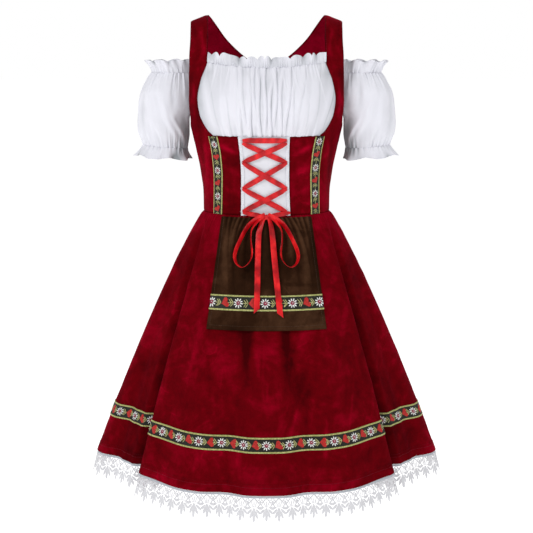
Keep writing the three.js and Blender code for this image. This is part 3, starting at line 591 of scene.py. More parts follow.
def insert_folds(x, up, seed):
    """Gathers from the elastic and from the lower seam, and long soft folds between them."""
    chance = np.random.default_rng(seed)
    total = np.zeros_like(x)
    for middle in np.arange(-0.112, 0.113, 0.0047):
        at = middle + chance.normal(0, 0.0013)
        reach = chance.uniform(0.06, 0.24) * chance.choice([0.7, 1, 1.9])
        lean = chance.normal(0, 0.012) + at * 0.12
        total += chance.uniform(0.4, 1.7) * np.exp(-((x - at - lean * (1 - up)) / 0.0017) ** 2
                                                   - ((1 - up) / reach) ** 2)
    for middle in np.arange(-0.084, 0.085, 0.0062):
        at = middle + chance.normal(0, 0.0016)
        reach = chance.uniform(0.06, 0.3) * chance.choice([0.6, 1, 1.7])
        total += chance.uniform(0.5, 2.0) * np.exp(-((x - at * (1 + 0.3 * up)) / 0.0022) ** 2
                                                   - (up / max(reach, 0.05)) ** 2)
    for middle, lean, low, high, width, height in LONG_FOLDS:
        path = middle * (1 + 0.3 * up) + lean * up + 0.0016 * np.sin(up * 7 + middle * 300)
        fold = np.exp(-(np.abs(x - path) / width) ** 1.6) - 0.6 * hump(x - path - 1.2 * width, 0.0013)
        total += height * fold / ((1 + np.exp(-(up - low) / 0.06)) * (1 + np.exp((up - high) / 0.06)))
    return total * MM


# The insert's long folds: place at the lower seam, lean, lowest and highest share of the height
# reached, half width and height in millimetres. They are sharpest near the middle.
LONG_FOLDS = [
    (-0.094, -0.006, 0.1, 0.7, 0.008, 1.0), (-0.07, -0.002, 0.0, 0.5, 0.006, 1.3),
    (-0.056, 0.01, 0.3, 1.1, 0.005, 1.2), (-0.047, 0.003, -0.3, 0.55, 0.003, 1.9),
    (-0.038, -0.002, 0.1, 1.1, 0.0034, 2.3), (-0.029, 0.003, -0.3, 0.8, 0.003, 2.6),
    (-0.0205, 0.001, 0.25, 1.2, 0.0026, 2.2), (-0.0125, -0.002, -0.3, 0.95, 0.0032, 3.0),
    (-0.003, 0.001, 0.1, 1.2, 0.0026, 2.4), (0.0055, 0.002, -0.3, 0.7, 0.0028, 2.8),
    (0.0135, 0.0, 0.2, 1.2, 0.003, 2.7), (0.0235, -0.002, -0.3, 0.9, 0.0032, 2.4),
    (0.033, 0.003, 0.05, 1.1, 0.003, 2.5), (0.043, -0.002, -0.3, 0.65, 0.003, 2.0),
    (0.051, 0.004, 0.35, 1.2, 0.0045, 1.7), (0.063, 0.002, -0.2, 0.5, 0.005, 1.4),
    (0.079, -0.006, 0.2, 0.85, 0.008, 1.1), (0.097, 0.006, 0.15, 0.7, 0.008, 0.9),
]


def bust_insert(u, v):
    """The puffed and gathered insert between its outline and the elastic."""
    v = drawn_in(v, 0.5)
    level = BUST_SEAM + SEAM_GAP / 2 + v * (INSERT_TOP - BUST_SEAM - SEAM_GAP / 2)
    edge = through(insert_rows[:, 0], insert_rows[:, 1], level, steady=True) - SEAM_GAP / 2
    across = 2 * u - 1
    z = level - ELASTIC_DIP * np.maximum(0, v * 2 - 1) * np.cos(across * np.pi / 2)
    points = torso(torso_angle(edge, level) * across, z)
    fade = 1 - np.abs(across) ** 7
    folds = insert_folds(points[:, 0], v, 11)
    puff = INSERT_PUFF * np.sin(v * np.pi) ** 0.7 * fade
    swell = 3.5 * MM * hump(np.abs(points[:, 0]) - 0.06, 0.03) * np.sin(np.clip(v, 0, 1) * np.pi)
    lift = puff + (folds + swell - 1.2 * MM) * np.minimum(1, fade * 1.5)
    rolled = 1.2 * MM * np.exp(-(np.minimum(1 - np.abs(across), v) * 0.11 / (2.5 * MM)) ** 2)
    points += torso_out(points) * (lift - rolled)[:, None]
    # Painted light and shade: lighter on folds and swells, darker between the folds and towards the sides.
    return points, 0.18 + 0.13 * (folds / MM - 0.6) + 0.03 * swell / MM - 0.1 * (1 - fade)


def bust_frill(u, v):
    """The frill stands over the elastic and leans out, waved along its free edge."""
    across = 2 * u - 1
    level = INSERT_TOP + SEAM_GAP / 2
    z = level - ELASTIC_DIP * np.cos(across * np.pi / 2)
    angle = torso_angle(np.full_like(u, FRILL_HALF), np.full_like(u, level)) * across
    foot = torso(angle, z)
    out = unit(torso_out(foot) * (1, 1, 0))
    x = foot[:, 0]
    place = x / 0.0205 + 0.35 * np.sin(x * 61 + 1) + 0.2 * np.sin(x * 143)
    humps = np.abs(np.sin(np.pi * place)) ** 0.7
    waves = np.cos(np.pi * place) * (1 + 0.4 * np.sin(x * 97)) + 0.25 * np.sin(x * 520 + np.sin(x * 90))
    rise = (v * (13.0 + humps * (6.8 + 1.6 * np.sin(x * 83 + 2))) - 1.4 * (1 - v)) * MM
    lean = (1.7 + v ** 1.3 * (1.6 + waves * 3.0) - 2.6 * v ** 2) * MM
    lean += (1 - v) * 1.1 * MM * np.sin(x * 1150 + 2 * np.sin(x * 210))
    points = foot + out * lean[:, None]
    points[:, 2] = foot[:, 2] + SEAM_GAP + rise
    # Painted light where the frill's edge waves out, and painted shade at its foot.
    return points, 0.15 + 0.11 * waves * v - 0.05 * (1 - v)


sewn("crepe_bust_insert", "bust_insert", white_crepe, 290, 66, bust_insert, COTTON,
     dict(flat=(0.40, 0.16), held="gathered", area=0.05))
sewn("crepe_bust_frill", "bust_frill", white_crepe, 360, 10, bust_frill, COTTON * 0.7,
     dict(flat=(0.32, 0.018), held="gathered", rests_on=["crepe_bust_insert"]))

# ---------------------------------------------------------------- skirt
# Two flared velvet panels joined at the side seams and sewn to the bodice at the waist. The cloth
# is equally long all round and falls in one deep fold at each side of the front.
HEM_WIDTH = 0.3435
HEM_DEPTH = 0.245
SKIRT_LENGTH = 0.5337
SKIRT_SWELL = 0.17
SWELL_POWER = 0.6
DRIFT_SHARE = 0.15
SEAM_PULL = 0.002
# The hollow beside each edge of the apron: angle, its half width, share of the way
# down, its half height, and depth. The hem is turned up and stitched at the last share.
HOLLOW = (13, 3.5, 0.42, 0.16, 3.5 * MM)
HEM_TURNED = 0.968
# Angle at the hem, half width, depth at the hem, share of the way down where it starts, and how
# much further round it starts at the waist. The folds are there on both sides.
SKIRT_FOLDS = [
    (19, 12, 0.013, 0.15, 2), (55, 20, 0.018, 0, 8), (65, 5, 0.062, 0.02, 7), (72, 16, 0.042, 0, 4),
    (79, 4.5, 0.009, 0.08, 3), (99, 8, 0.018, 0.12, 1), (116, 11, 0.036, 0.04, -3),
    (141, 11, 0.024, 0.12, -3), (165, 11, 0.027, 0.06, -2),
]


def skirt_ring(angle, share):
    """The skirt's half width and depth before it is folded, at a share of the way down."""
    grown = share + SKIRT_SWELL * np.maximum(0, share) ** SWELL_POWER * (1 - share)
    ahead = np.cos(np.radians(angle))
    waist = np.where(ahead > 0, TORSO_FRONT[0], TORSO_BACK[0])
    width = TORSO_WIDTH[0] + (HEM_WIDTH - TORSO_WIDTH[0]) * grown
    depth = waist + (HEM_DEPTH - waist) * grown
    return width, depth


def ring_radius(angle, width, depth):
    """The radius of an oval at an angle."""
    return 1 / np.hypot(np.sin(np.radians(angle)) / width, np.cos(np.radians(angle)) / depth)


def skirt_drop(angle):
    """How far the hem hangs below the waist, from the cloth's length and its flare."""
    flare = ring_radius(angle, *skirt_ring(angle, 1.0)) - ring_radius(angle, *skirt_ring(angle, 0.0))
    return np.sqrt(SKIRT_LENGTH**2 - flare**2)


def skirt(angle, share):
    """Points on the outside of the folded skirt."""
    radius = ring_radius(angle, *skirt_ring(angle, share))
    for middle, reach, depth, start, drift in SKIRT_FOLDS:
        off = (np.abs(angle) - middle - drift * np.exp(-share / DRIFT_SHARE)) / reach
        deep = depth * np.maximum(0, (share - start) / (1 - start))
        radius = radius - np.where(np.abs(off) < 1, deep * (1 + np.cos(off * np.pi)) / 2, 0)
    turn = np.radians(angle)
    return np.stack([radius * np.sin(turn), -radius * np.cos(turn), WAIST - share * skirt_drop(angle)],
                    axis=-1)


def skirt_out(angle, share):
    """The directions out of the folded skirt."""
    below = np.maximum(share, 0.015)
    around = skirt(angle + 0.4, below) - skirt(angle - 0.4, below)
    up = skirt(angle, below - 0.001) - skirt(angle, below + 0.001)
    return unit(np.cross(around, up))


def skirt_creases(angle, share):
    """Small creases of the hanging velvet, the seam's puckers and the turned-up hem."""
    along = angle * 4.3 * MM * (0.45 + share)
    down = -share * SKIRT_LENGTH
    total = scattered_creases(along, down, (-0.9, 0.9, -0.52, -0.02), 300, 0.11, 4.5 * MM,
                              0.8 * MM, 0, 21)
    total += scattered_creases(along, down, (-0.9, 0.9, -0.52, -0.28), 170, 0.035, 3.5 * MM,
                               0.55 * MM, 35, 22)
    pucker = np.sin(angle * 2.9 + 2 * np.sin(angle * 0.7)) * hump(share, 0.05)
    total += 0.5 * MM * pucker
    middle, reach, level, height, depth = HOLLOW
    total -= depth * hump(np.abs(angle) - middle, reach) * hump(share - level, height)
    hem = 0.6 * MM / (1 + np.exp(-(share - HEM_TURNED) / 0.002))
    return total + hem - 0.7 * MM * hump(share - HEM_TURNED + 0.004, 0.0035)


def signed(angle):
    """Angles round from the front, as -180 to 180."""
    return np.where(angle > 180, angle - 360, angle)


def skirt_half(front):
    """The placing of the skirt's front or back, with painted light on its ridges, painted shade in its folds,
    and lighter towards the waist.
    """
    def place(u, v):
        share = drawn_in(1 - v, 0.35)
        angle = signed((-90 if front else 90) + SEAM_PULL + u * (180 - 2 * SEAM_PULL))
        relief = skirt_creases(angle, share)
        points = skirt(angle, share)
        out = skirt_out(angle, share)
        fade = np.minimum(1, share / 0.01)
        points = points + out * (relief * fade)[:, None]
        points[:, 2] -= SEAM_GAP / 2 * (1 - fade)
        deep = sum(hump(np.abs(angle) - m - d * np.exp(-share / DRIFT_SHARE), r * 0.5)
                   * k / 0.06 * share for m, r, k, s, d in SKIRT_FOLDS)
        return points, 0.08 + 0.13 * relief / MM - 0.3 * deep + 0.12 * np.exp(-share / 0.15)
    return place


sewn("velvet_skirt_front", "skirt_front", crimson_velvet, 330, 84, skirt_half(True), VELVET,
     dict(flat=(1.12, 0.54), held="hung", area=0.40))
sewn("velvet_skirt_back", "skirt_back", crimson_velvet, 260, 64, skirt_half(False), VELVET,
     dict(flat=(1.12, 0.54), held="hung", area=0.40))

# ---------------------------------------------------------------- apron
# Dark brown velvet gathered into the waist seam at its top, lying on the front of the skirt.
APRON_TOP = -0.3865
APRON_HEM = -0.594
APRON_TOP_HALF = 0.086
APRON_HEM_HALF = 0.1145
APRON_LIFT = 3.2 * MM
brown_velvet = velvet_finish("brown_velvet", (0.010, 0.0036, 0.0014), (0.024, 0.0090, 0.0038),
                             (0.070, 0.031, 0.015), (0.25, 0.12, 0.06))


def skirt_front_foot(x, z):
    """Points on the unfolded form of the skirt's front, under places x, z."""
    drop = skirt_drop(np.zeros_like(x))
    for _ in range(4):
        width, depth = skirt_ring(0.0 * x, (WAIST - z) / drop)
        y = -depth * np.sqrt(1 - (x / width) ** 2)
        drop = skirt_drop(np.degrees(np.arctan2(x, -y)))
    return np.stack([x, y, z], axis=-1)


def over_skirt(x, z, lift):
    """Points at a height over the front of the skirt, and the directions outwards."""
    x, z = np.asarray(x, float), np.asarray(z, float)
    around = skirt_front_foot(x + MM, z) - skirt_front_foot(x - MM, z)
    up = skirt_front_foot(x, z + MM) - skirt_front_foot(x, z - MM)
    out = unit(np.cross(around, up))
    return skirt_front_foot(x, z) + out * np.asarray(lift)[..., None], out


# The apron's pleats, from the waist down: place at the top, lean outwards, length, half width and
# height in millimetres.
APRON_FOLDS = [
    (-0.079, -0.006, 0.04, 0.0034, 2.0), (-0.069, -0.012, 0.11, 0.003, 2.6),
    (-0.059, -0.02, 0.05, 0.003, 2.2), (-0.051, -0.022, 0.13, 0.0035, 3.0),
    (-0.041, -0.026, 0.06, 0.003, 2.4), (-0.031, -0.02, 0.1, 0.003, 2.6),
    (-0.022, -0.006, 0.05, 0.003, 2.0), (-0.003, 0.002, 0.08, 0.004, 2.0),
    (0.021, 0.012, 0.05, 0.003, 2.2), (0.029, 0.02, 0.1, 0.003, 2.8),
    (0.037, 0.024, 0.06, 0.003, 2.5), (0.046, 0.026, 0.12, 0.0035, 3.0),
    (0.056, 0.018, 0.05, 0.003, 2.3), (0.066, 0.014, 0.09, 0.003, 2.5),
    (0.077, 0.006, 0.045, 0.003, 2.0),
]


def apron_half(z):
    """Half the apron's width at a level."""
    return APRON_TOP_HALF + (APRON_HEM_HALF - APRON_TOP_HALF) * (APRON_TOP - z) / (APRON_TOP - APRON_HEM)


def apron_relief(x, z):
    """Pleats that fall away from the waist, and the soft creases below them."""
    fallen = APRON_TOP - z
    relief = np.zeros_like(x)
    for middle, lean, length, width, height in APRON_FOLDS:
        path = middle + lean * (1 - np.exp(-fallen / 0.05)) * 1.2
        spread = width * (1 + fallen / 0.05)
        ridge = np.exp(-(np.abs(x - path) / spread) ** 1.5) - 0.5 * hump(x - path - 1.1 * spread, 0.002)
        relief += height * MM * ridge * hump(fallen, length)
    relief += crease(x, z, (0.02, -0.507), (0.1, -0.513), 3 * MM, -0.9 * MM)
    relief += crease(x, z, (-0.09, -0.47), (-0.03, -0.48), 4 * MM, 0.6 * MM)
    return relief + scattered_creases(x, z, (-0.11, 0.11, -0.59, -0.42), 60, 0.03, 3.5 * MM,
                                      0.45 * MM, 20, 31)


def apron(u, v):
    """The apron over the skirt, with its edges turned in."""
    v = drawn_in(v, 0.4)
    z = APRON_HEM + v * (APRON_TOP - APRON_HEM)
    half = apron_half(z)
    x = (2 * u - 1) * half
    relief = apron_relief(x, z)
    edge = np.minimum(np.minimum(u, 1 - u) * 2 * half, v * (APRON_TOP - APRON_HEM))
    rolled = 1.0 * MM * hump(edge, 2 * MM)
    points, _ = over_skirt(x, z, APRON_LIFT + relief * 0.9 - rolled)
    # Painted light and shade: lighter towards the hem, a little darker below the waist and in an upright band
    # 70 mm to one side of the middle, lighter on the pleats and darker where the edges roll in.
    apron_painted_shading = np.interp(z, [APRON_HEM, -0.55, -0.5, -0.44, APRON_TOP], [0.2, 0.16, 0.0, -0.05, 0.0])
    apron_painted_shading -= 0.1 * hump(x + 0.07, 0.022)
    return points, apron_painted_shading - 0.02 + 0.14 * relief / MM - 0.1 * rolled / MM


sewn("velvet_apron", "apron", brown_velvet, 180, 84, apron, VELVET,
     dict(flat=(0.30, 0.21), held="gathered", area=0.048, rests_on=["velvet_skirt_front"]))

# ---------------------------------------------------------------- sleeves
# White crepe puff sleeves, each a tube gathered on elastic at the upper arm and above the cuff,
# with a frill beyond each elastic.
# Rows of a sleeve: level, side nearest the body, far side, half depth, how much lower the far side
# hangs, and how high the gathers are.
SLEEVE = [
    (-0.110, 0.1490, 0.2240, 0.038, 0, 1.9), (-0.117, 0.1465, 0.2300, 0.042, 0, 1.5),
    (-0.126, 0.1440, 0.2360, 0.0465, 0, 0.8), (-0.148, 0.1410, 0.2470, 0.053, 0, 0.15),
    (-0.174, 0.1410, 0.2520, 0.054, 0, 0.0), (-0.200, 0.1515, 0.2538, 0.053, 0, 0.0),
    (-0.228, 0.1518, 0.2515, 0.049, -0.001, 0.3), (-0.244, 0.1545, 0.2465, 0.044, -0.0025, 1.1),
    (-0.254, 0.1568, 0.2425, 0.040, -0.0033, 1.9),
]
TOP_FRILL = [SLEEVE[0], (-0.098, 0.149, 0.229, 0.041, 0, 2.6), (-0.0875, 0.1515, 0.235, 0.045, 0.001, 4.2)]
SLEEVE_ROUND = 0.33
CUFF_FRILL = [SLEEVE[-1], (-0.264, 0.1535, 0.25, 0.044, -0.004, 2.2),
              (-0.275, 0.1495, 0.2585, 0.049, -0.004, 3.4)]
# Creases of a sleeve: start and end as share round it from the front and level, half width and
# height in millimetres. Most run down and in towards the cuff.
SLEEVE_CREASES = [
    ((0.04, -0.15), (-0.1, -0.243), 6, 3.2), ((0.12, -0.135), (0.02, -0.24), 7, 2.6),
    ((0.17, -0.14), (0.12, -0.24), 6, -1.8), ((-0.04, -0.185), (-0.17, -0.25), 5, 3.0),
    ((0.24, -0.2), (0.18, -0.25), 5, 2.0), ((-0.14, -0.15), (-0.22, -0.235), 8, 2.4),
    ((0.5, -0.13), (0.42, -0.24), 6, 2.2), ((0.62, -0.15), (0.55, -0.245), 6, -2.0),
    ((0.38, -0.14), (0.33, -0.25), 6, 2.1), ((0.05, -0.21), (0.02, -0.252), 4, -2.0),
    ((0.11, -0.225), (0.09, -0.253), 3.5, 2.0), ((-0.03, -0.12), (-0.05, -0.175), 5, -1.8),
    ((0.13, -0.12), (0.12, -0.17), 5, 1.8), ((0.06, -0.118), (0.055, -0.15), 3, 1.4),
    ((-0.11, -0.118), (-0.12, -0.16), 4, 1.6), ((0.2, -0.13), (0.2, -0.19), 6, 1.6),
]


def sleeve_part(rows, side, seed, frill):
    """A stretch of the sleeve's tube between rows, with its gathers; frill is 1 up, -1 down or 0."""
    table = np.array(rows)[::-1] if rows[0][0] > rows[-1][0] else np.array(rows)
    levels = table[:, 0]
    chance = np.random.default_rng(seed)
    shifts, sizes = chance.uniform(0, 2 * np.pi, 6), chance.uniform(0.6, 1.4, 6)

    def place(u, v):
        z = levels[0] + v * (levels[-1] - levels[0])
        near, far, depth, fall, gather = (through(levels, table[:, column], z, steady=True)
                                          for column in range(1, 6))
        turn = u * 2 * np.pi
        ridges = (np.sin(turn * 31 + 2.2 * np.sin(turn * 3 + shifts[0])) * sizes[0]
                  + 0.8 * np.sin(turn * 47 + 3 * np.sin(turn * 5 + shifts[1])) * sizes[1]) * 0.55
        waves = (0.9 * np.sin(turn * (8 if frill > 0 else 5) + 1.2 * np.sin(turn * 2 + shifts[2])) * sizes[2]
                 + 0.45 * np.sin(turn * 13 + 1.5 * np.sin(turn * 3 + shifts[3])) * sizes[3])
        relief = gather * MM * ridges
        if frill:
            away = v if frill > 0 else 1 - v
            relief = gather * MM * (ridges * (1 - away) ** 2 + waves * away)
            scallops = np.abs(np.sin(turn * (4 if frill > 0 else 2.5) + shifts[4]))
            z = z + frill * away * (4.6 * scallops - 2.4) * MM
        else:
            share = np.where(u > 0.7, u - 1, u)
            span = SLEEVE_ROUND
            for start, end, width, height in SLEEVE_CREASES:
                relief = relief + crease(share * span, z, (start[0] * span, start[1]),
                                         (end[0] * span, end[1]), width * MM, height * MM)
            relief = relief + scattered_creases(u * span, z, (0, span, -0.25, -0.115), 22, 0.05, 5 * MM,
                                                0.9 * MM, -18, seed)
        middle, half = (near + far) / 2, (far - near) / 2 + relief
        out = np.sin(turn)
        points = np.stack([(middle + half * out) * side, -(depth + relief) * np.cos(turn),
                           z - fall * out], axis=-1)
        if frill >= 0:
            points[v < 1e-6, 2] += SEAM_GAP / 2
        if frill <= 0:
            points[v > 1 - 1e-6, 2] -= SEAM_GAP / 2
        # Painted shadow of the body on the sleeve's inner side below the upper arm, and painted light on the
        # gathers' ridges.
        inner = np.clip(-out, 0, 1) ** 1.5 * np.clip((-0.15 - z) / 0.08, 0, 1)
        return points, 0.2 + 0.05 * relief / MM - 0.4 * inner
    return place


# Parts of a sleeve: name, node, rows, frill, rows of the grid, wall and flat form.
SLEEVE_PARTS = [
    ("sleeve", "sleeve", SLEEVE, 0, 60, COTTON * 0.8,
     dict(flat=(0.40, 0.155), held="gathered", area=0.06)),
    ("top_frill", "sleeve_top_frill", TOP_FRILL, 1, 10, COTTON * 0.7,
     dict(flat=(0.34, 0.022), held="gathered")),
    ("cuff_frill", "sleeve_cuff_frill", CUFF_FRILL, -1, 10, COTTON * 0.7,
     dict(flat=(0.34, 0.022), held="gathered")),
]
for (hand, side), seed in zip(HANDS, (41, 51)):
    for number, (part, node, rows, frill, along, wall, sheet) in enumerate(SLEEVE_PARTS):
        sewn(f"crepe_{part}_{hand}", f"{node}_{hand}", white_crepe, 240, along,
             sleeve_part(rows, side, seed + number, frill), wall, sheet, closed=True)

# ---------------------------------------------------------------- woven trims
# A black woven ribbon with a yellow-green cord down each side, worked in satin stitch with white
# flowers, red hearts and leafy sprigs. It is sewn over the princess seams and round the hems.
TRIM_SHARES = (0.793, 0.85)
TRIM_ARC_SHARE = 0.82
BODICE_TRIM = 23 * MM
APRON_TRIM = (-0.529, -0.558)
APRON_TRIM_LENGTH = 0.214
CORD_EDGE = 0.125
MOTIF_WIDTH = 25.5 * MM


def thread_finish(name, colour, pale, along=900.0):
    """Shiny embroidery thread: fine strands, a little uneven in colour."""
    material, shader = finish_of(name, 0.55, sheen=0.05, specular=0.25)
    place = add_node(material, "ShaderNodeTexCoord").outputs["Object"]
    uneven = noise_of(material, place, 420.0, 2.0)
    strands = add_node(material, "ShaderNodeTexWave", {"bands_direction": "DIAGONAL"}, Vector=place,
                       Scale=along, Distortion=1.0).outputs["Fac"]
    return finished(material, shader, ramp_of(material, uneven, [(0.3, colour), (0.7, pale)]), strands,
                    0.35, 0.2 * MM)


black_ribbon = thread_finish("black_ribbon", (0.004, 0.0045, 0.0025), (0.012, 0.013, 0.007), 500.0)
green_cord = thread_finish("green_cord", (0.22, 0.24, 0.06), (0.52, 0.50, 0.2))
white_thread = thread_finish("white_thread", (0.62, 0.62, 0.60), (0.9, 0.9, 0.88))
leaf_thread = thread_finish("leaf_thread", (0.40, 0.40, 0.13), (0.66, 0.64, 0.30))
red_thread = thread_finish("red_thread", (0.30, 0.010, 0.009), (0.52, 0.022, 0.016))
wine_thread = thread_finish("wine_thread", (0.14, 0.012, 0.03), (0.34, 0.03, 0.07))


def trim_profile(t):
    """The ribbon's relief across it: a raised cord inside each edge, with a flat ground between."""
    edge = np.minimum(t, 1 - t)
    return 0.8 * MM * hump(edge - CORD_EDGE * 0.55, CORD_EDGE * 0.33) - 0.3 * MM * (edge < 0.01)


def worked_in(verts, finish):
    """Gives the smooth faces round some vertices one of their piece's finishes, by number."""
    for face in {face for vert in verts for face in vert.link_faces}:
        face.material_index = finish
        face.smooth = True


def lobe(flat, at, length, width, turn, high, finish, ends=5):
    """A padded petal, leaf or bar in the flat, ridged down its middle."""
    ahead = Vector((math.cos(turn), math.sin(turn), 0))
    aside = Vector((-ahead.y, ahead.x, 0))
    shape = Matrix((aside * width / 2, Vector((0, 0, high)), ahead * length / 2)).transposed().to_4x4()
    made = bmesh.ops.create_uvsphere(flat, u_segments=4, v_segments=ends, radius=1,
                                     matrix=Matrix.Translation(at) @ shape)["verts"]
    worked_in(made, finish)


def heart(flat, at, size, turn, high, finish):
    """A padded heart in the flat, size from lobe to lobe, its point along turn."""
    made = bmesh.ops.create_uvsphere(flat, u_segments=14, v_segments=5, radius=1)["verts"]
    for vert in made:
        way, full = math.atan2(vert.co.x, vert.co.y), math.hypot(vert.co.x, vert.co.y)
        x = 16 * math.sin(way) ** 3
        y = 13 * math.cos(way) - 5 * math.cos(2 * way) - 2 * math.cos(3 * way) - math.cos(4 * way)
        vert.co = Vector((x * full * size / 32, (y + 2) * full * size / 40, vert.co.z * high))
    bmesh.ops.rotate(flat, verts=made, matrix=Matrix.Rotation(turn + math.pi / 2, 3, "Z"))
    bmesh.ops.translate(flat, verts=made, vec=at)
    worked_in(made, finish)


def sprig(flat, start, end, size, chance):
    """A thin stem whose two pairs of leaves sweep back from its tip."""
    lobe(flat, ((start + end) / 2, 0, 0), end - start, 0.95 * MM * size, 0, 0.35 * MM, 1)
    for back, reach in ((0.2 * MM, 9.2 * MM), (3.6 * MM, 8.2 * MM)):
        for hand in (-1, 1):
            lean = math.pi - hand * math.radians(52 + chance.uniform(-8, 8))
            long = reach * size * chance.uniform(0.8, 1.1)
            tip = Vector((math.cos(lean), math.sin(lean), 0)) * long / 2
            lobe(flat, (end - back * size + tip.x, tip.y, 0), long, 1.15 * MM * size, lean, 0.5 * MM, 1)


def one_repeat(pitch, size, seed):
    """One repeat of the embroidery in the flat: a flower, a sprig, a heart and a sprig."""
    flat = bmesh.new()
    chance = np.random.default_rng(seed)
    spin = chance.uniform(0, 0.6)
    unit = size * MM
    sprig(flat, 6.5 * unit, pitch / 2 - 5.8 * unit, size, chance)
    sprig(flat, pitch / 2 + 3.5 * unit, pitch - 8.2 * unit, size, chance)
    for petal in range(10):
        turn = spin + petal * 2 * math.pi / 10 + chance.uniform(-0.06, 0.06)
        far = 5.8 * unit * chance.uniform(0.92, 1.06)
        lobe(flat, (far * math.cos(turn), far * math.sin(turn), 0.1 * MM), 5.6 * unit, 2.15 * unit,
             turn, 0.6 * MM, 0)
    for dot in range(5):
        turn = spin + dot * 2 * math.pi / 5
        lobe(flat, (2.1 * unit * math.cos(turn), 2.1 * unit * math.sin(turn), 0), 4.4 * unit,
             3.0 * unit, turn, 0.7 * MM, 3, ends=4)
    lobe(flat, (0.5 * unit, 0.4 * unit, 0.5 * MM), 2.2 * unit, 1.2 * unit, spin, 0.5 * MM, 0, ends=4)
    heart(flat, (pitch / 2 + 0.5 * unit, 0, 0), 18.5 * unit, math.pi + chance.uniform(-0.1, 0.55),
          0.8 * MM, 2)
    return flat


def repeated(variants, places):
    """Copies of flat drawings, in turn, moved along to each place."""
    drawn = []
    for number, variant in enumerate(variants):
        data = bpy.data.meshes.new(f"repeat_{number}")
        variant.to_mesh(data)
        variant.free()
        drawn.append(data)
    whole = bmesh.new()
    for number, place in enumerate(places):
        whole.from_mesh(drawn[number % len(drawn)])
        whole.verts.ensure_lookup_table()
        copied = whole.verts[-len(drawn[number % len(drawn)].vertices):]
        for vert in copied:
            vert.co.x += place
    for data in drawn:
        bpy.data.meshes.remove(data)
    return whole


def cut_off(flat, x, way):
    """Cuts away what lies past a place along the flat, ahead of it (1) or behind it (-1)."""
    bmesh.ops.bisect_plane(flat, geom=flat.verts[:] + flat.edges[:] + flat.faces[:], dist=1e-6,
                           plane_co=(x, 0, 0), plane_no=(way, 0, 0), clear_outer=True)


def embroidery(length, pitch, size, start, seed):
    """The repeats along a trim, cut off clear of its two ends."""
    first = start - math.ceil(start / pitch + 1) * pitch
    whole = repeated([one_repeat(pitch, size, seed + number) for number in range(4)],
                     np.arange(first, length + pitch, pitch))
    cut_off(whole, 0.4 * MM, -1)
    cut_off(whole, length - 0.4 * MM, 1)
    return whole


def laid(name, node, finishes, flat, place):
    """Lays what is drawn in the flat, with its relief upwards, over a surface given by place."""
    spots = np.array([vert.co for vert in flat.verts])
    for vert, point in zip(flat.verts, place(spots[:, 0], spots[:, 1], spots[:, 2])):
        vert.co = point
    flat.normal_update()
    return kept(meshed(name, flat), node, finishes)


def trim_band(name, node, length, width, place, across, pitch, start, seed):
    """A trim: its woven band with the two cords, and the embroidery on it."""
    flat = grid_of(across, 16)
    for vert in flat.verts:
        vert.co.y = drawn_in(vert.co.y, 0.9)
    for face in flat.faces:
        edge = min(face.calc_center_median().y, 1 - face.calc_center_median().y)
        face.material_index = int(0.015 < edge < CORD_EDGE)
    woven(flat, (length, width))
    for vert in flat.verts:
        rib = 0.1 * MM * math.sin(vert.co.x * length / (1.1 * MM))
        lift = float(trim_profile(np.array(vert.co.y)))
        vert.co = (vert.co.x * length, (vert.co.y - 0.5) * width, 0.7 * MM + lift * (1 + rib / MM))
    band = laid(name, node, [black_ribbon, green_cord], flat, place)
    shell = band.modifiers.new("wall", "SOLIDIFY")
    shell.thickness, shell.offset = 0.5 * MM, -1
    applied(band)
    motifs = embroidery(length, pitch, min(1.08, width / MOTIF_WIDTH), start, seed)
    threads = [white_thread, leaf_thread, red_thread, wine_thread]
    return laid(name + "_embroidery", None, threads, motifs,
                lambda s, t, h: place(s, t, h + 0.75 * MM))


def hem_arc(front):
    """Angles along the hem trim, by the length of cloth from one side seam to the other."""
    angles = np.linspace(-90, 90, 721) if front else np.linspace(90, 270, 721)
    ring = skirt(signed(angles), np.full_like(angles, TRIM_ARC_SHARE))
    return lengths_along(ring), angles


def on_hem(front):
    """Places along the hem trim on the creased skirt, and the trim's length."""
    lengths, angles = hem_arc(front)

    def place(s, t, h):
        angle = signed(np.interp(s, lengths, angles))
        share = sum(TRIM_SHARES) / 2 - t / SKIRT_LENGTH
        out = skirt_out(angle, share)
        return skirt(angle, share) + out * (skirt_creases(angle, share) + h)[:, None]
    return place, lengths[-1]


for half, front in HALVES:
    place, length = on_hem(front)
    width = (TRIM_SHARES[1] - TRIM_SHARES[0]) * SKIRT_LENGTH
    trim_band(f"trim_band_hem_{half}", f"trim_hem_{half}", length, width, place, 520,
              44 * MM, length / 2, 61 + front)


def on_princess_seam(side):
    """Places along a princess seam from the waist up, and to each side of it."""
    def place(s, t, h):
        z = WAIST + SEAM_GAP + s
        x = panel_row(1, z)
        angle = torso_angle(x, z)
        degree = np.linalg.norm(torso(angle + 0.5, z) - torso(angle - 0.5, z), axis=-1)
        points = torso(angle - t * side / degree, z)
        points = points + torso_out(points) * (0.3 * MM + h)[:, None]
        points[:, 0] *= side
        return points
    return place


for hand, side in HANDS:
    seam_length = BUST_SEAM - WAIST - 0.6 * MM
    trim_band(f"trim_band_bodice_{hand}", f"trim_bodice_{hand}", seam_length, BODICE_TRIM,
              on_princess_seam(side), 100,
              50.8 * MM, 0.142 if side > 0 else 0.1366, 71 + side)


def on_apron(s, t, h):
    """Places along the apron's trim, which follows its pleats."""
    z = (APRON_TRIM[0] + APRON_TRIM[1]) / 2 + t
    half = apron_half(z)
    x = (s / APRON_TRIM_LENGTH * 2 - 1) * (half - 0.3 * MM)
    points, _ = over_skirt(x, z, APRON_LIFT + apron_relief(x, z) * 0.9 + h)
    return points


trim_band("trim_band_apron", "trim_apron", APRON_TRIM_LENGTH, APRON_TRIM[0] - APRON_TRIM[1], on_apron, 140,
          51 * MM, 0.105, 81)

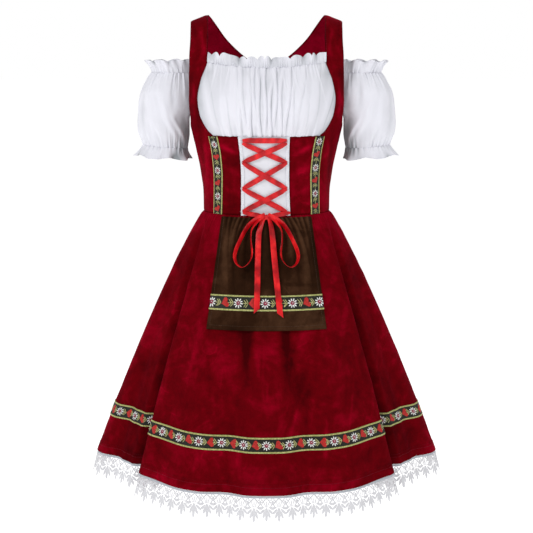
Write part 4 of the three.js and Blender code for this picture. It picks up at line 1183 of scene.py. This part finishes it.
# ---------------------------------------------------------------- lace
# Thick white lace on a narrow tape sewn under the hem: open bars and rosettes above a row of leaf
# clusters, whose long middle leaves make the points of its edge.
LACE_PITCH = 23.4 * MM
LACE_FLARE = 0.25
LACE_CLEAR = 0.6 * MM
lace_thread = cotton_finish("lace_thread", (0.78, 0.78, 0.80), (0.60, 0.60, 0.63), 2.5)
# The tape is painted grey-blue as painted shade, for the hem's shadow over it.
lace_tape_painted_shade = cotton_finish("lace_tape_painted_shade", (0.50, 0.53, 0.57), (0.40, 0.43, 0.47), 1.0)
# One cluster of the lace: place across and below the hem, length, width and turn from straight
# down, all in millimetres and degrees. Those with a place across are there on both sides.
LACE_MOTIF = [
    (0, 30, 19, 6.8, 0), (0, 39, 16, 5.4, 0), (4.6, 33.5, 15, 5.0, 20), (7.8, 28, 13, 4.9, 42),
    (9.8, 22.0, 11, 4.2, 68), (0, 14, 13, 2.4, 0), (3.6, 14.5, 12, 2.2, -16),
    (6.4, 10, 14, 2.4, 32), (9.6, 16.5, 9, 2.8, -40), (2.9, 7, 9, 2.2, 44), (8.6, 7, 8, 2.3, -40),
]


def lace_cluster(pitch, seed):
    """One repeat of the lace in the flat: a leaf cluster, its bars, and a rosette beside it."""
    flat = bmesh.new()
    chance = np.random.default_rng(seed)
    size = chance.uniform(0.94, 1.03)
    for x, drop, long, wide, turn in LACE_MOTIF:
        for hand in ((-1, 1) if x else (1,)):
            lean = -math.pi / 2 + hand * math.radians(turn + chance.uniform(-3, 3))
            down = drop if drop < 20 else 20 + (drop - 20) * size
            lobe(flat, (hand * x * MM * size, -down * MM, chance.uniform(-0.1, 0.2) * MM),
                 long * MM * size, wide * MM, lean, 0.65 * MM, 0)
    for turn in (0, 60, 120):
        lobe(flat, (pitch / 2, -11 * MM, 0), 9.5 * MM, 2.4 * MM, math.radians(turn + chance.uniform(-8, 8)),
             0.6 * MM, 0)
    return flat


def lace_flat(length, seed):
    """The lace in the flat: its repeats, the tape along its top and the cord through its middle."""
    repeats = round(length / LACE_PITCH)
    pitch = length / repeats
    whole = repeated([lace_cluster(pitch, seed + number) for number in range(5)],
                     (np.arange(repeats) + 0.5) * pitch)
    cut_off(whole, length - 0.3 * MM, 1)
    for drop, width, finish in ((2.0, 4.0, 1), (19.5, 1.2, 0)):
        made = bmesh.ops.create_grid(whole, x_segments=repeats * 6, y_segments=1, size=0.5)["verts"]
        for vert in made:
            vert.co = ((vert.co.x + 0.5) * length, -drop * MM + vert.co.y * width * MM, 0.3 * MM)
        worked_in(made, finish)
    return whole


def under_hem(start, end):
    """Places along the hem by its length, and below it where the lace hangs."""
    angles = np.linspace(start, end, 961)
    ring = skirt(angles, np.ones_like(angles))
    lengths = lengths_along(ring)
    along = np.gradient(ring, axis=0)
    along[:, 2] = 0
    along = np.stack([np.convolve(np.pad(along[:, axis], 8, mode="edge"), np.ones(17) / 17, "valid")
                      for axis in range(3)], axis=-1)
    out = unit(np.cross(along, (0, 0, 1)))

    def place(s, t, h):
        points, ways = (np.stack([np.interp(s, lengths, column) for column in table.T], axis=-1)
                        for table in (ring, out))
        points = points + ways * (-t * LACE_FLARE - 1.1 * MM + h)[:, None]
        points[:, 2] += t - LACE_CLEAR
        return points
    return place, lengths[-1]


for part, start, end, seed in (("front", -89.9, 89.9, 91), ("back_left", 90.1, 179.9, 92),
                               ("back_right", -179.9, -90.1, 93)):
    place, length = under_hem(start, end)
    laid(f"guipure_{part}", f"lace_{part}", [lace_thread, lace_tape_painted_shade], lace_flat(length, seed), place)

# ---------------------------------------------------------------- lacing
# Red satin ribbon laced through the panel's edges: a bar across the top, three crosses, and two
# ends that run to the bow.
SATIN = 0.8 * MM
SATIN_WIDTH = 10.5 * MM
LACING_MIDDLE = -0.0034
LACING_HALF = 0.0416
LACING_BAR = -0.235
LACING_ROWS = [-0.240, -0.278, -0.329, -0.374]
LOW_LAYER, HIGH_LAYER = 2.6 * MM, 3.8 * MM
# Share along a crossing strip, and its height over the panel where it passes under and over.
CROSSING = np.array([
    (0, HIGH_LAYER, HIGH_LAYER), (0.15, HIGH_LAYER, HIGH_LAYER), (0.36, LOW_LAYER, HIGH_LAYER),
    (0.5, LOW_LAYER, HIGH_LAYER), (0.66, LOW_LAYER, HIGH_LAYER), (0.85, LOW_LAYER, LOW_LAYER),
    (1, LOW_LAYER, LOW_LAYER),
])

red_satin, satin_shader = finish_of("red_satin", 0.34, sheen=0.04, sheen_tint=(1, 0.1, 0.1), specular=0.3)
satin_shader.inputs["Anisotropic"].default_value = 0.5
# The satin's colour follows a cloud and the painted highlights and shade that each ribbon carries.
satin_cloud = noise_of(red_satin, add_node(red_satin, "ShaderNodeTexCoord").outputs["Object"], 70.0, 3.0)
satin_colour = ramp_of(red_satin, reckoned(red_satin, "ADD", satin_cloud, painted_shading_of(red_satin)),
                       [(0.3, (0.30, 0.0, 0.003)), (0.55, (0.56, 0.002, 0.007)),
                        (0.85, (0.86, 0.022, 0.022))])
satin_weave = add_node(red_satin, "ShaderNodeUVMap", {"uv_map": "weave"}).outputs["UV"]
satin_threads = add_node(red_satin, "ShaderNodeTexWave", {"bands_direction": "Y"}, Vector=satin_weave,
                         Scale=520.0, Distortion=0.3).outputs["Fac"]
finished(red_satin, satin_shader, satin_colour, satin_threads, 0.12, 0.2 * MM)


def ribbon(points, outs, widths, turns, curl=0.4 * MM, slant=0.0, wrinkle=0.0, gleam=0.15):
    """The placing of a ribbon along points. A turn of 0 lies flat on its outs, 90 stands on edge."""
    steps = lengths_along(points)
    shares = steps / steps[-1]

    def place(u, v):
        def smooth(values, at):
            return np.stack([through(shares, column, at) for column in values.T], axis=-1)
        middle = smooth(points, v)
        ahead = unit(smooth(points, np.minimum(v + 0.004, 1)) - smooth(points, np.maximum(v - 0.004, 0)))
        out = smooth(outs, v)
        side = unit(np.cross(ahead, out))
        turn = np.radians(through(shares, turns, v, True))[:, None]
        width = through(shares, widths, v, True)
        across = side * np.cos(turn) + out * np.sin(turn)
        face = out * np.cos(turn) - side * np.sin(turn)
        hand = 2 * u - 1
        end = np.clip((v - 0.85) / 0.15, 0, 1) ** 2
        lift = curl * (1 - hand**2) + wrinkle * np.sin(v * 31 + hand * 1.3) * np.sin(v * np.pi)
        placed_at = (middle + across * (hand * width / 2)[:, None] + ahead * (hand * slant * end)[:, None]
                     + face * lift[:, None])
        # Painted highlights and shade in bands along the ribbon, one edge a little lighter than the other;
        # gleam sets how strong they are.
        return placed_at, gleam * (np.sin(v * 21 + 1.3 * np.sin(v * 9)) + 0.4 * hand)
    return place


def on_lacing(x, z, lift):
    """Points at a height over the lacing panel, and the directions outwards."""
    x, z, lift = (np.asarray(value, float) + np.zeros(len(x)) for value in (x, z, lift))
    points = torso(torso_angle(x, z), z)
    outs = torso_out(points)
    return points + outs * (lift + SATIN * 0.9)[:, None], outs


def lacing_strip(name, node, x, z, lift, widths, length):
    """One length of the lacing over the panel, from tables of its places, heights and widths."""
    points, outs = on_lacing(x, z, lift)
    sewn(name, node, red_satin, 8, 50,
         ribbon(points, outs, widths, np.zeros(len(x)), wrinkle=0.12 * MM, gleam=0.05), SATIN * 0.6,
         dict(flat=(0.0105, length), held="stretched", rests_on=["cotton_lacing_panel"]))


# The tie from the lowest crossing to the knot: place across, level, and lift and width in millimetres.
TIE = np.array([
    (0.0445, -0.3755, 3.8, 5), (0.032, -0.3772, 5.2, 9), (0.02, -0.3785, 7.2, 9), (0.009, -0.3802, 9.8, 7),
    (0.003, -0.382, 12.6, 5),
])
shares = CROSSING[:, 0]
strip_widths = SATIN_WIDTH * np.array([0.5, 0.95, 1, 1, 1, 0.95, 0.5])
lacing_strip("satin_bar", "lacing_bar", LACING_MIDDLE - LACING_HALF * (1 - 2 * shares), LACING_BAR,
             LOW_LAYER, strip_widths, 0.09)
for cross in range(3):
    for hand, side in HANDS:
        over = (side == 1) == (cross % 2 == 0)
        lacing_strip(f"satin_{hand}_{cross + 1}", f"lacing_{hand}_{cross + 1}",
                     LACING_MIDDLE + side * LACING_HALF * (1 - 2 * shares),
                     LACING_ROWS[cross] + (LACING_ROWS[cross + 1] - LACING_ROWS[cross]) * shares,
                     CROSSING[:, 2 if over else 1], strip_widths, 0.1)
for hand, side in HANDS:
    lacing_strip(f"satin_tie_{hand}", f"lacing_tie_{hand}", side * TIE[:, 0], TIE[:, 1],
                 TIE[:, 2] * MM, TIE[:, 3] * MM, 0.042)

# ---------------------------------------------------------------- bow
# The ribbon's ends, tied in a bow over the apron: a knot, two loops standing on edge, and two free
# ends that hang flat and are cut on a slant.
# Rows of a loop, from the knot out, round and back: place across, level, lift, width in millimetres
# and turn. Rows of an end: place across, level and lift; its widths and turns are the same for both.
BOW_LOOP = np.array([
    (0.003, -0.3838, 0.0145, 5, 10), (0.0165, -0.3905, 0.0148, 9, 40), (0.033, -0.4045, 0.0138, 11, 60),
    (0.0465, -0.428, 0.0128, 11, 66), (0.0575, -0.456, 0.0122, 11, 70), (0.0545, -0.472, 0.012, 11, 74),
    (0.0435, -0.4785, 0.012, 11, 74), (0.031, -0.468, 0.012, 11, 70), (0.0265, -0.453, 0.012, 11, 66),
    (0.0285, -0.429, 0.0125, 11, 70), (0.027, -0.411, 0.0135, 11, 66), (0.0185, -0.398, 0.0142, 9, 45),
    (0.0045, -0.3865, 0.0142, 5, 20),
])
BOW_ENDS = {
    "right": np.array([(-0.0025, -0.3855, 0.0125), (-0.009, -0.399, 0.0095), (-0.014, -0.416, 0.0084),
                       (-0.016, -0.46, 0.0078), (-0.017, -0.515, 0.007), (-0.0183, -0.558, 0.007)]),
    "left": np.array([(0.0025, -0.3855, 0.0125), (0.0075, -0.399, 0.0095), (0.0105, -0.416, 0.0084),
                      (0.0145, -0.46, 0.0078), (0.0202, -0.515, 0.007), (0.0256, -0.566, 0.007)]),
}

BOW_END_WIDTHS = np.array([4.5, 8.5, 10.5, 11, 11, 11]) * MM
BOW_END_TURNS = np.array([0, 12, 5, 0, -6, 0])
KNOT_LEVEL = -0.383

for hand, side in HANDS:
    loop, outs = over_skirt(BOW_LOOP[:, 0] * side, BOW_LOOP[:, 1], BOW_LOOP[:, 2])
    sewn(f"satin_loop_{hand}", f"bow_loop_{hand}", red_satin, 10, 130,
         ribbon(loop, outs, BOW_LOOP[:, 3] * MM, BOW_LOOP[:, 4] * -side, curl=0.5 * MM), SATIN * 0.6,
         dict(flat=(0.011, 0.235), held="folded", rests_on=["velvet_apron"]))
    end = BOW_ENDS[hand]
    points, outs = over_skirt(end[:, 0], end[:, 1], end[:, 2])
    sewn(f"satin_end_{hand}", f"bow_end_{hand}", red_satin, 10, 110,
         ribbon(points, outs, BOW_END_WIDTHS, BOW_END_TURNS * side, slant=-5 * MM * side,
                wrinkle=0.6 * MM),
         SATIN * 0.6, dict(flat=(0.011, 0.18), held="hung", rests_on=["velvet_apron"]))

knot_form = bmesh.new()
bmesh.ops.create_uvsphere(knot_form, u_segments=48, v_segments=28, radius=1)
knot_middle = Vector(over_skirt([0.0005], [KNOT_LEVEL], [0.0145])[0][0])
knot_middle.z = KNOT_LEVEL
for vert in knot_form.verts:
    x, y, z = vert.co
    pinched = 1 - 0.2 * math.exp(-(z / 0.35) ** 2) * abs(x)
    folds = 1 + 0.05 * math.sin(9 * x + 2.5 * z) + 0.04 * math.sin(17 * x - 3 * z)
    vert.co = knot_middle + Vector((math.copysign(abs(x) ** 0.8, x) * 6.2 * pinched, y * 4.3 * folds,
                                    math.copysign(abs(z) ** 0.85, z) * 5 * folds)) * MM
kept(meshed("satin_knot", knot_form), "bow_knot", red_satin)

# ---------------------------------------------------------------- stitching
# Topstitching that shows: along the panels' free edges, two rows above the skirt's hem, round the apron,
# whipped over the bindings, and worked round the eyelets.
crimson_thread = thread_finish("crimson_thread", (0.07, 0.0, 0.006), (0.26, 0.002, 0.02))
brown_thread = thread_finish("brown_thread", (0.012, 0.006, 0.003), (0.09, 0.05, 0.03))
cotton_thread = thread_finish("cotton_thread", (0.55, 0.57, 0.62), (0.86, 0.86, 0.88))
BINDING_SEAM = 0.152


def stitches(name, finish, along, length, pitch=3.4, long=2.4, wide=0.6, turn=0.0):
    """A row of stitches, sizes in millimetres; along(s) gives points and the directions outwards."""
    one = bmesh.new()
    lobe(one, (0, 0, 0), long * MM, wide * MM, turn, 0.25 * MM, 0, ends=4)
    row = repeated([one], np.arange(pitch * MM / 2, length, pitch * MM))

    def place(s, t, h):
        points, outs = along(s)
        aside = np.cross(outs, unit(along(s + 0.3 * MM)[0] - along(s - 0.3 * MM)[0]))
        return points + aside * t[:, None] + outs * (h + 0.1 * MM)[:, None]
    return laid(name, None, finish, row, place)


def on_panel(placing, share, length):
    """A line up a bodice panel at a share across it."""
    def along(s):
        points, _ = placing(0 * s + share, np.clip(s / length, 0.004, 0.996))
        return points, torso_out(points)
    return along


def round_skirt(front, share):
    """A line round one half of the skirt at a share of the way down, and its length."""
    lengths, angles = hem_arc(front)

    def along(s):
        angle = signed(np.interp(s, lengths, angles))
        out = skirt_out(angle, 0 * s + share)
        return skirt(angle, 0 * s + share) + out * skirt_creases(angle, 0 * s + share)[:, None], out
    return along, lengths[-1]


def round_apron(s):
    """Down one side of the apron, along its hem and up the other side."""
    tall, wide = APRON_TOP - APRON_HEM - 8 * MM, 2 * APRON_HEM_HALF - 12 * MM
    down, up = np.clip(s, 0, tall), np.clip(s - tall - wide, 0, tall)
    z = APRON_TOP - down + up
    half = apron_half(z) - 6 * MM
    x = half * (2 * np.clip((s - tall) / wide, 0, 1) - 1)
    return over_skirt(x, z, APRON_LIFT + apron_relief(x, z) * 0.9)


for hand, side in HANDS:
    side_front = panel(SIDE_FRONT, side, creases=side_front_creases)
    back_panel = panel(BACK, side, True, back_creases)
    for edge, placing, share, length in (
            ("neck", side_front, 0.13, 0.40), ("arm", side_front, 0.9, 0.40),
            ("back_neck", back_panel, 0.09, 0.38), ("back_arm", back_panel, 0.93, 0.38)):
        stitches(f"stitches_{edge}_{hand}", crimson_thread,
                 on_panel(placing, share, length), length)
    stitches(f"stitches_binding_{hand}", cotton_thread,
             on_panel(binding(side), 0.78, BINDING_SEAM), BINDING_SEAM, pitch=3.1, long=3.2, wide=1.1,
             turn=math.radians(78))
for half, front in HALVES:
    for row, share in (("low", 0.972), ("high", 0.962)):
        line, length = round_skirt(front, share)
        stitches(f"stitches_hem_{half}_{row}", crimson_thread, line, length, long=2.6)
stitches("stitches_apron", brown_thread, round_apron,
         2 * (APRON_TOP - APRON_HEM) + 2 * APRON_HEM_HALF - 28 * MM)

EYELET = 2.6 * MM
EYELET_LIFT = 2 * MM
eyelets = bmesh.new()
for height in [LACING_BAR] + LACING_ROWS[1:]:
    for side in (1, -1):
        middle = LACING_MIDDLE + side * (LACING_HALF + 0.6 * MM)
        for turn in np.arange(0, 2 * math.pi, math.pi / 5):
            lobe(eyelets, (middle + EYELET * math.cos(turn), height + EYELET * math.sin(turn), 0),
                 2.4 * MM, 1.5 * MM, turn, 0.5 * MM, 0, ends=4)


def on_panel_front(s, t, h):
    """Places over the lacing panel's bindings."""
    points = torso(torso_angle(s, t), t)
    return points + torso_out(points) * (h + EYELET_LIFT)[:, None]


laid("stitches_eyelets", None, cotton_thread, eyelets, on_panel_front)
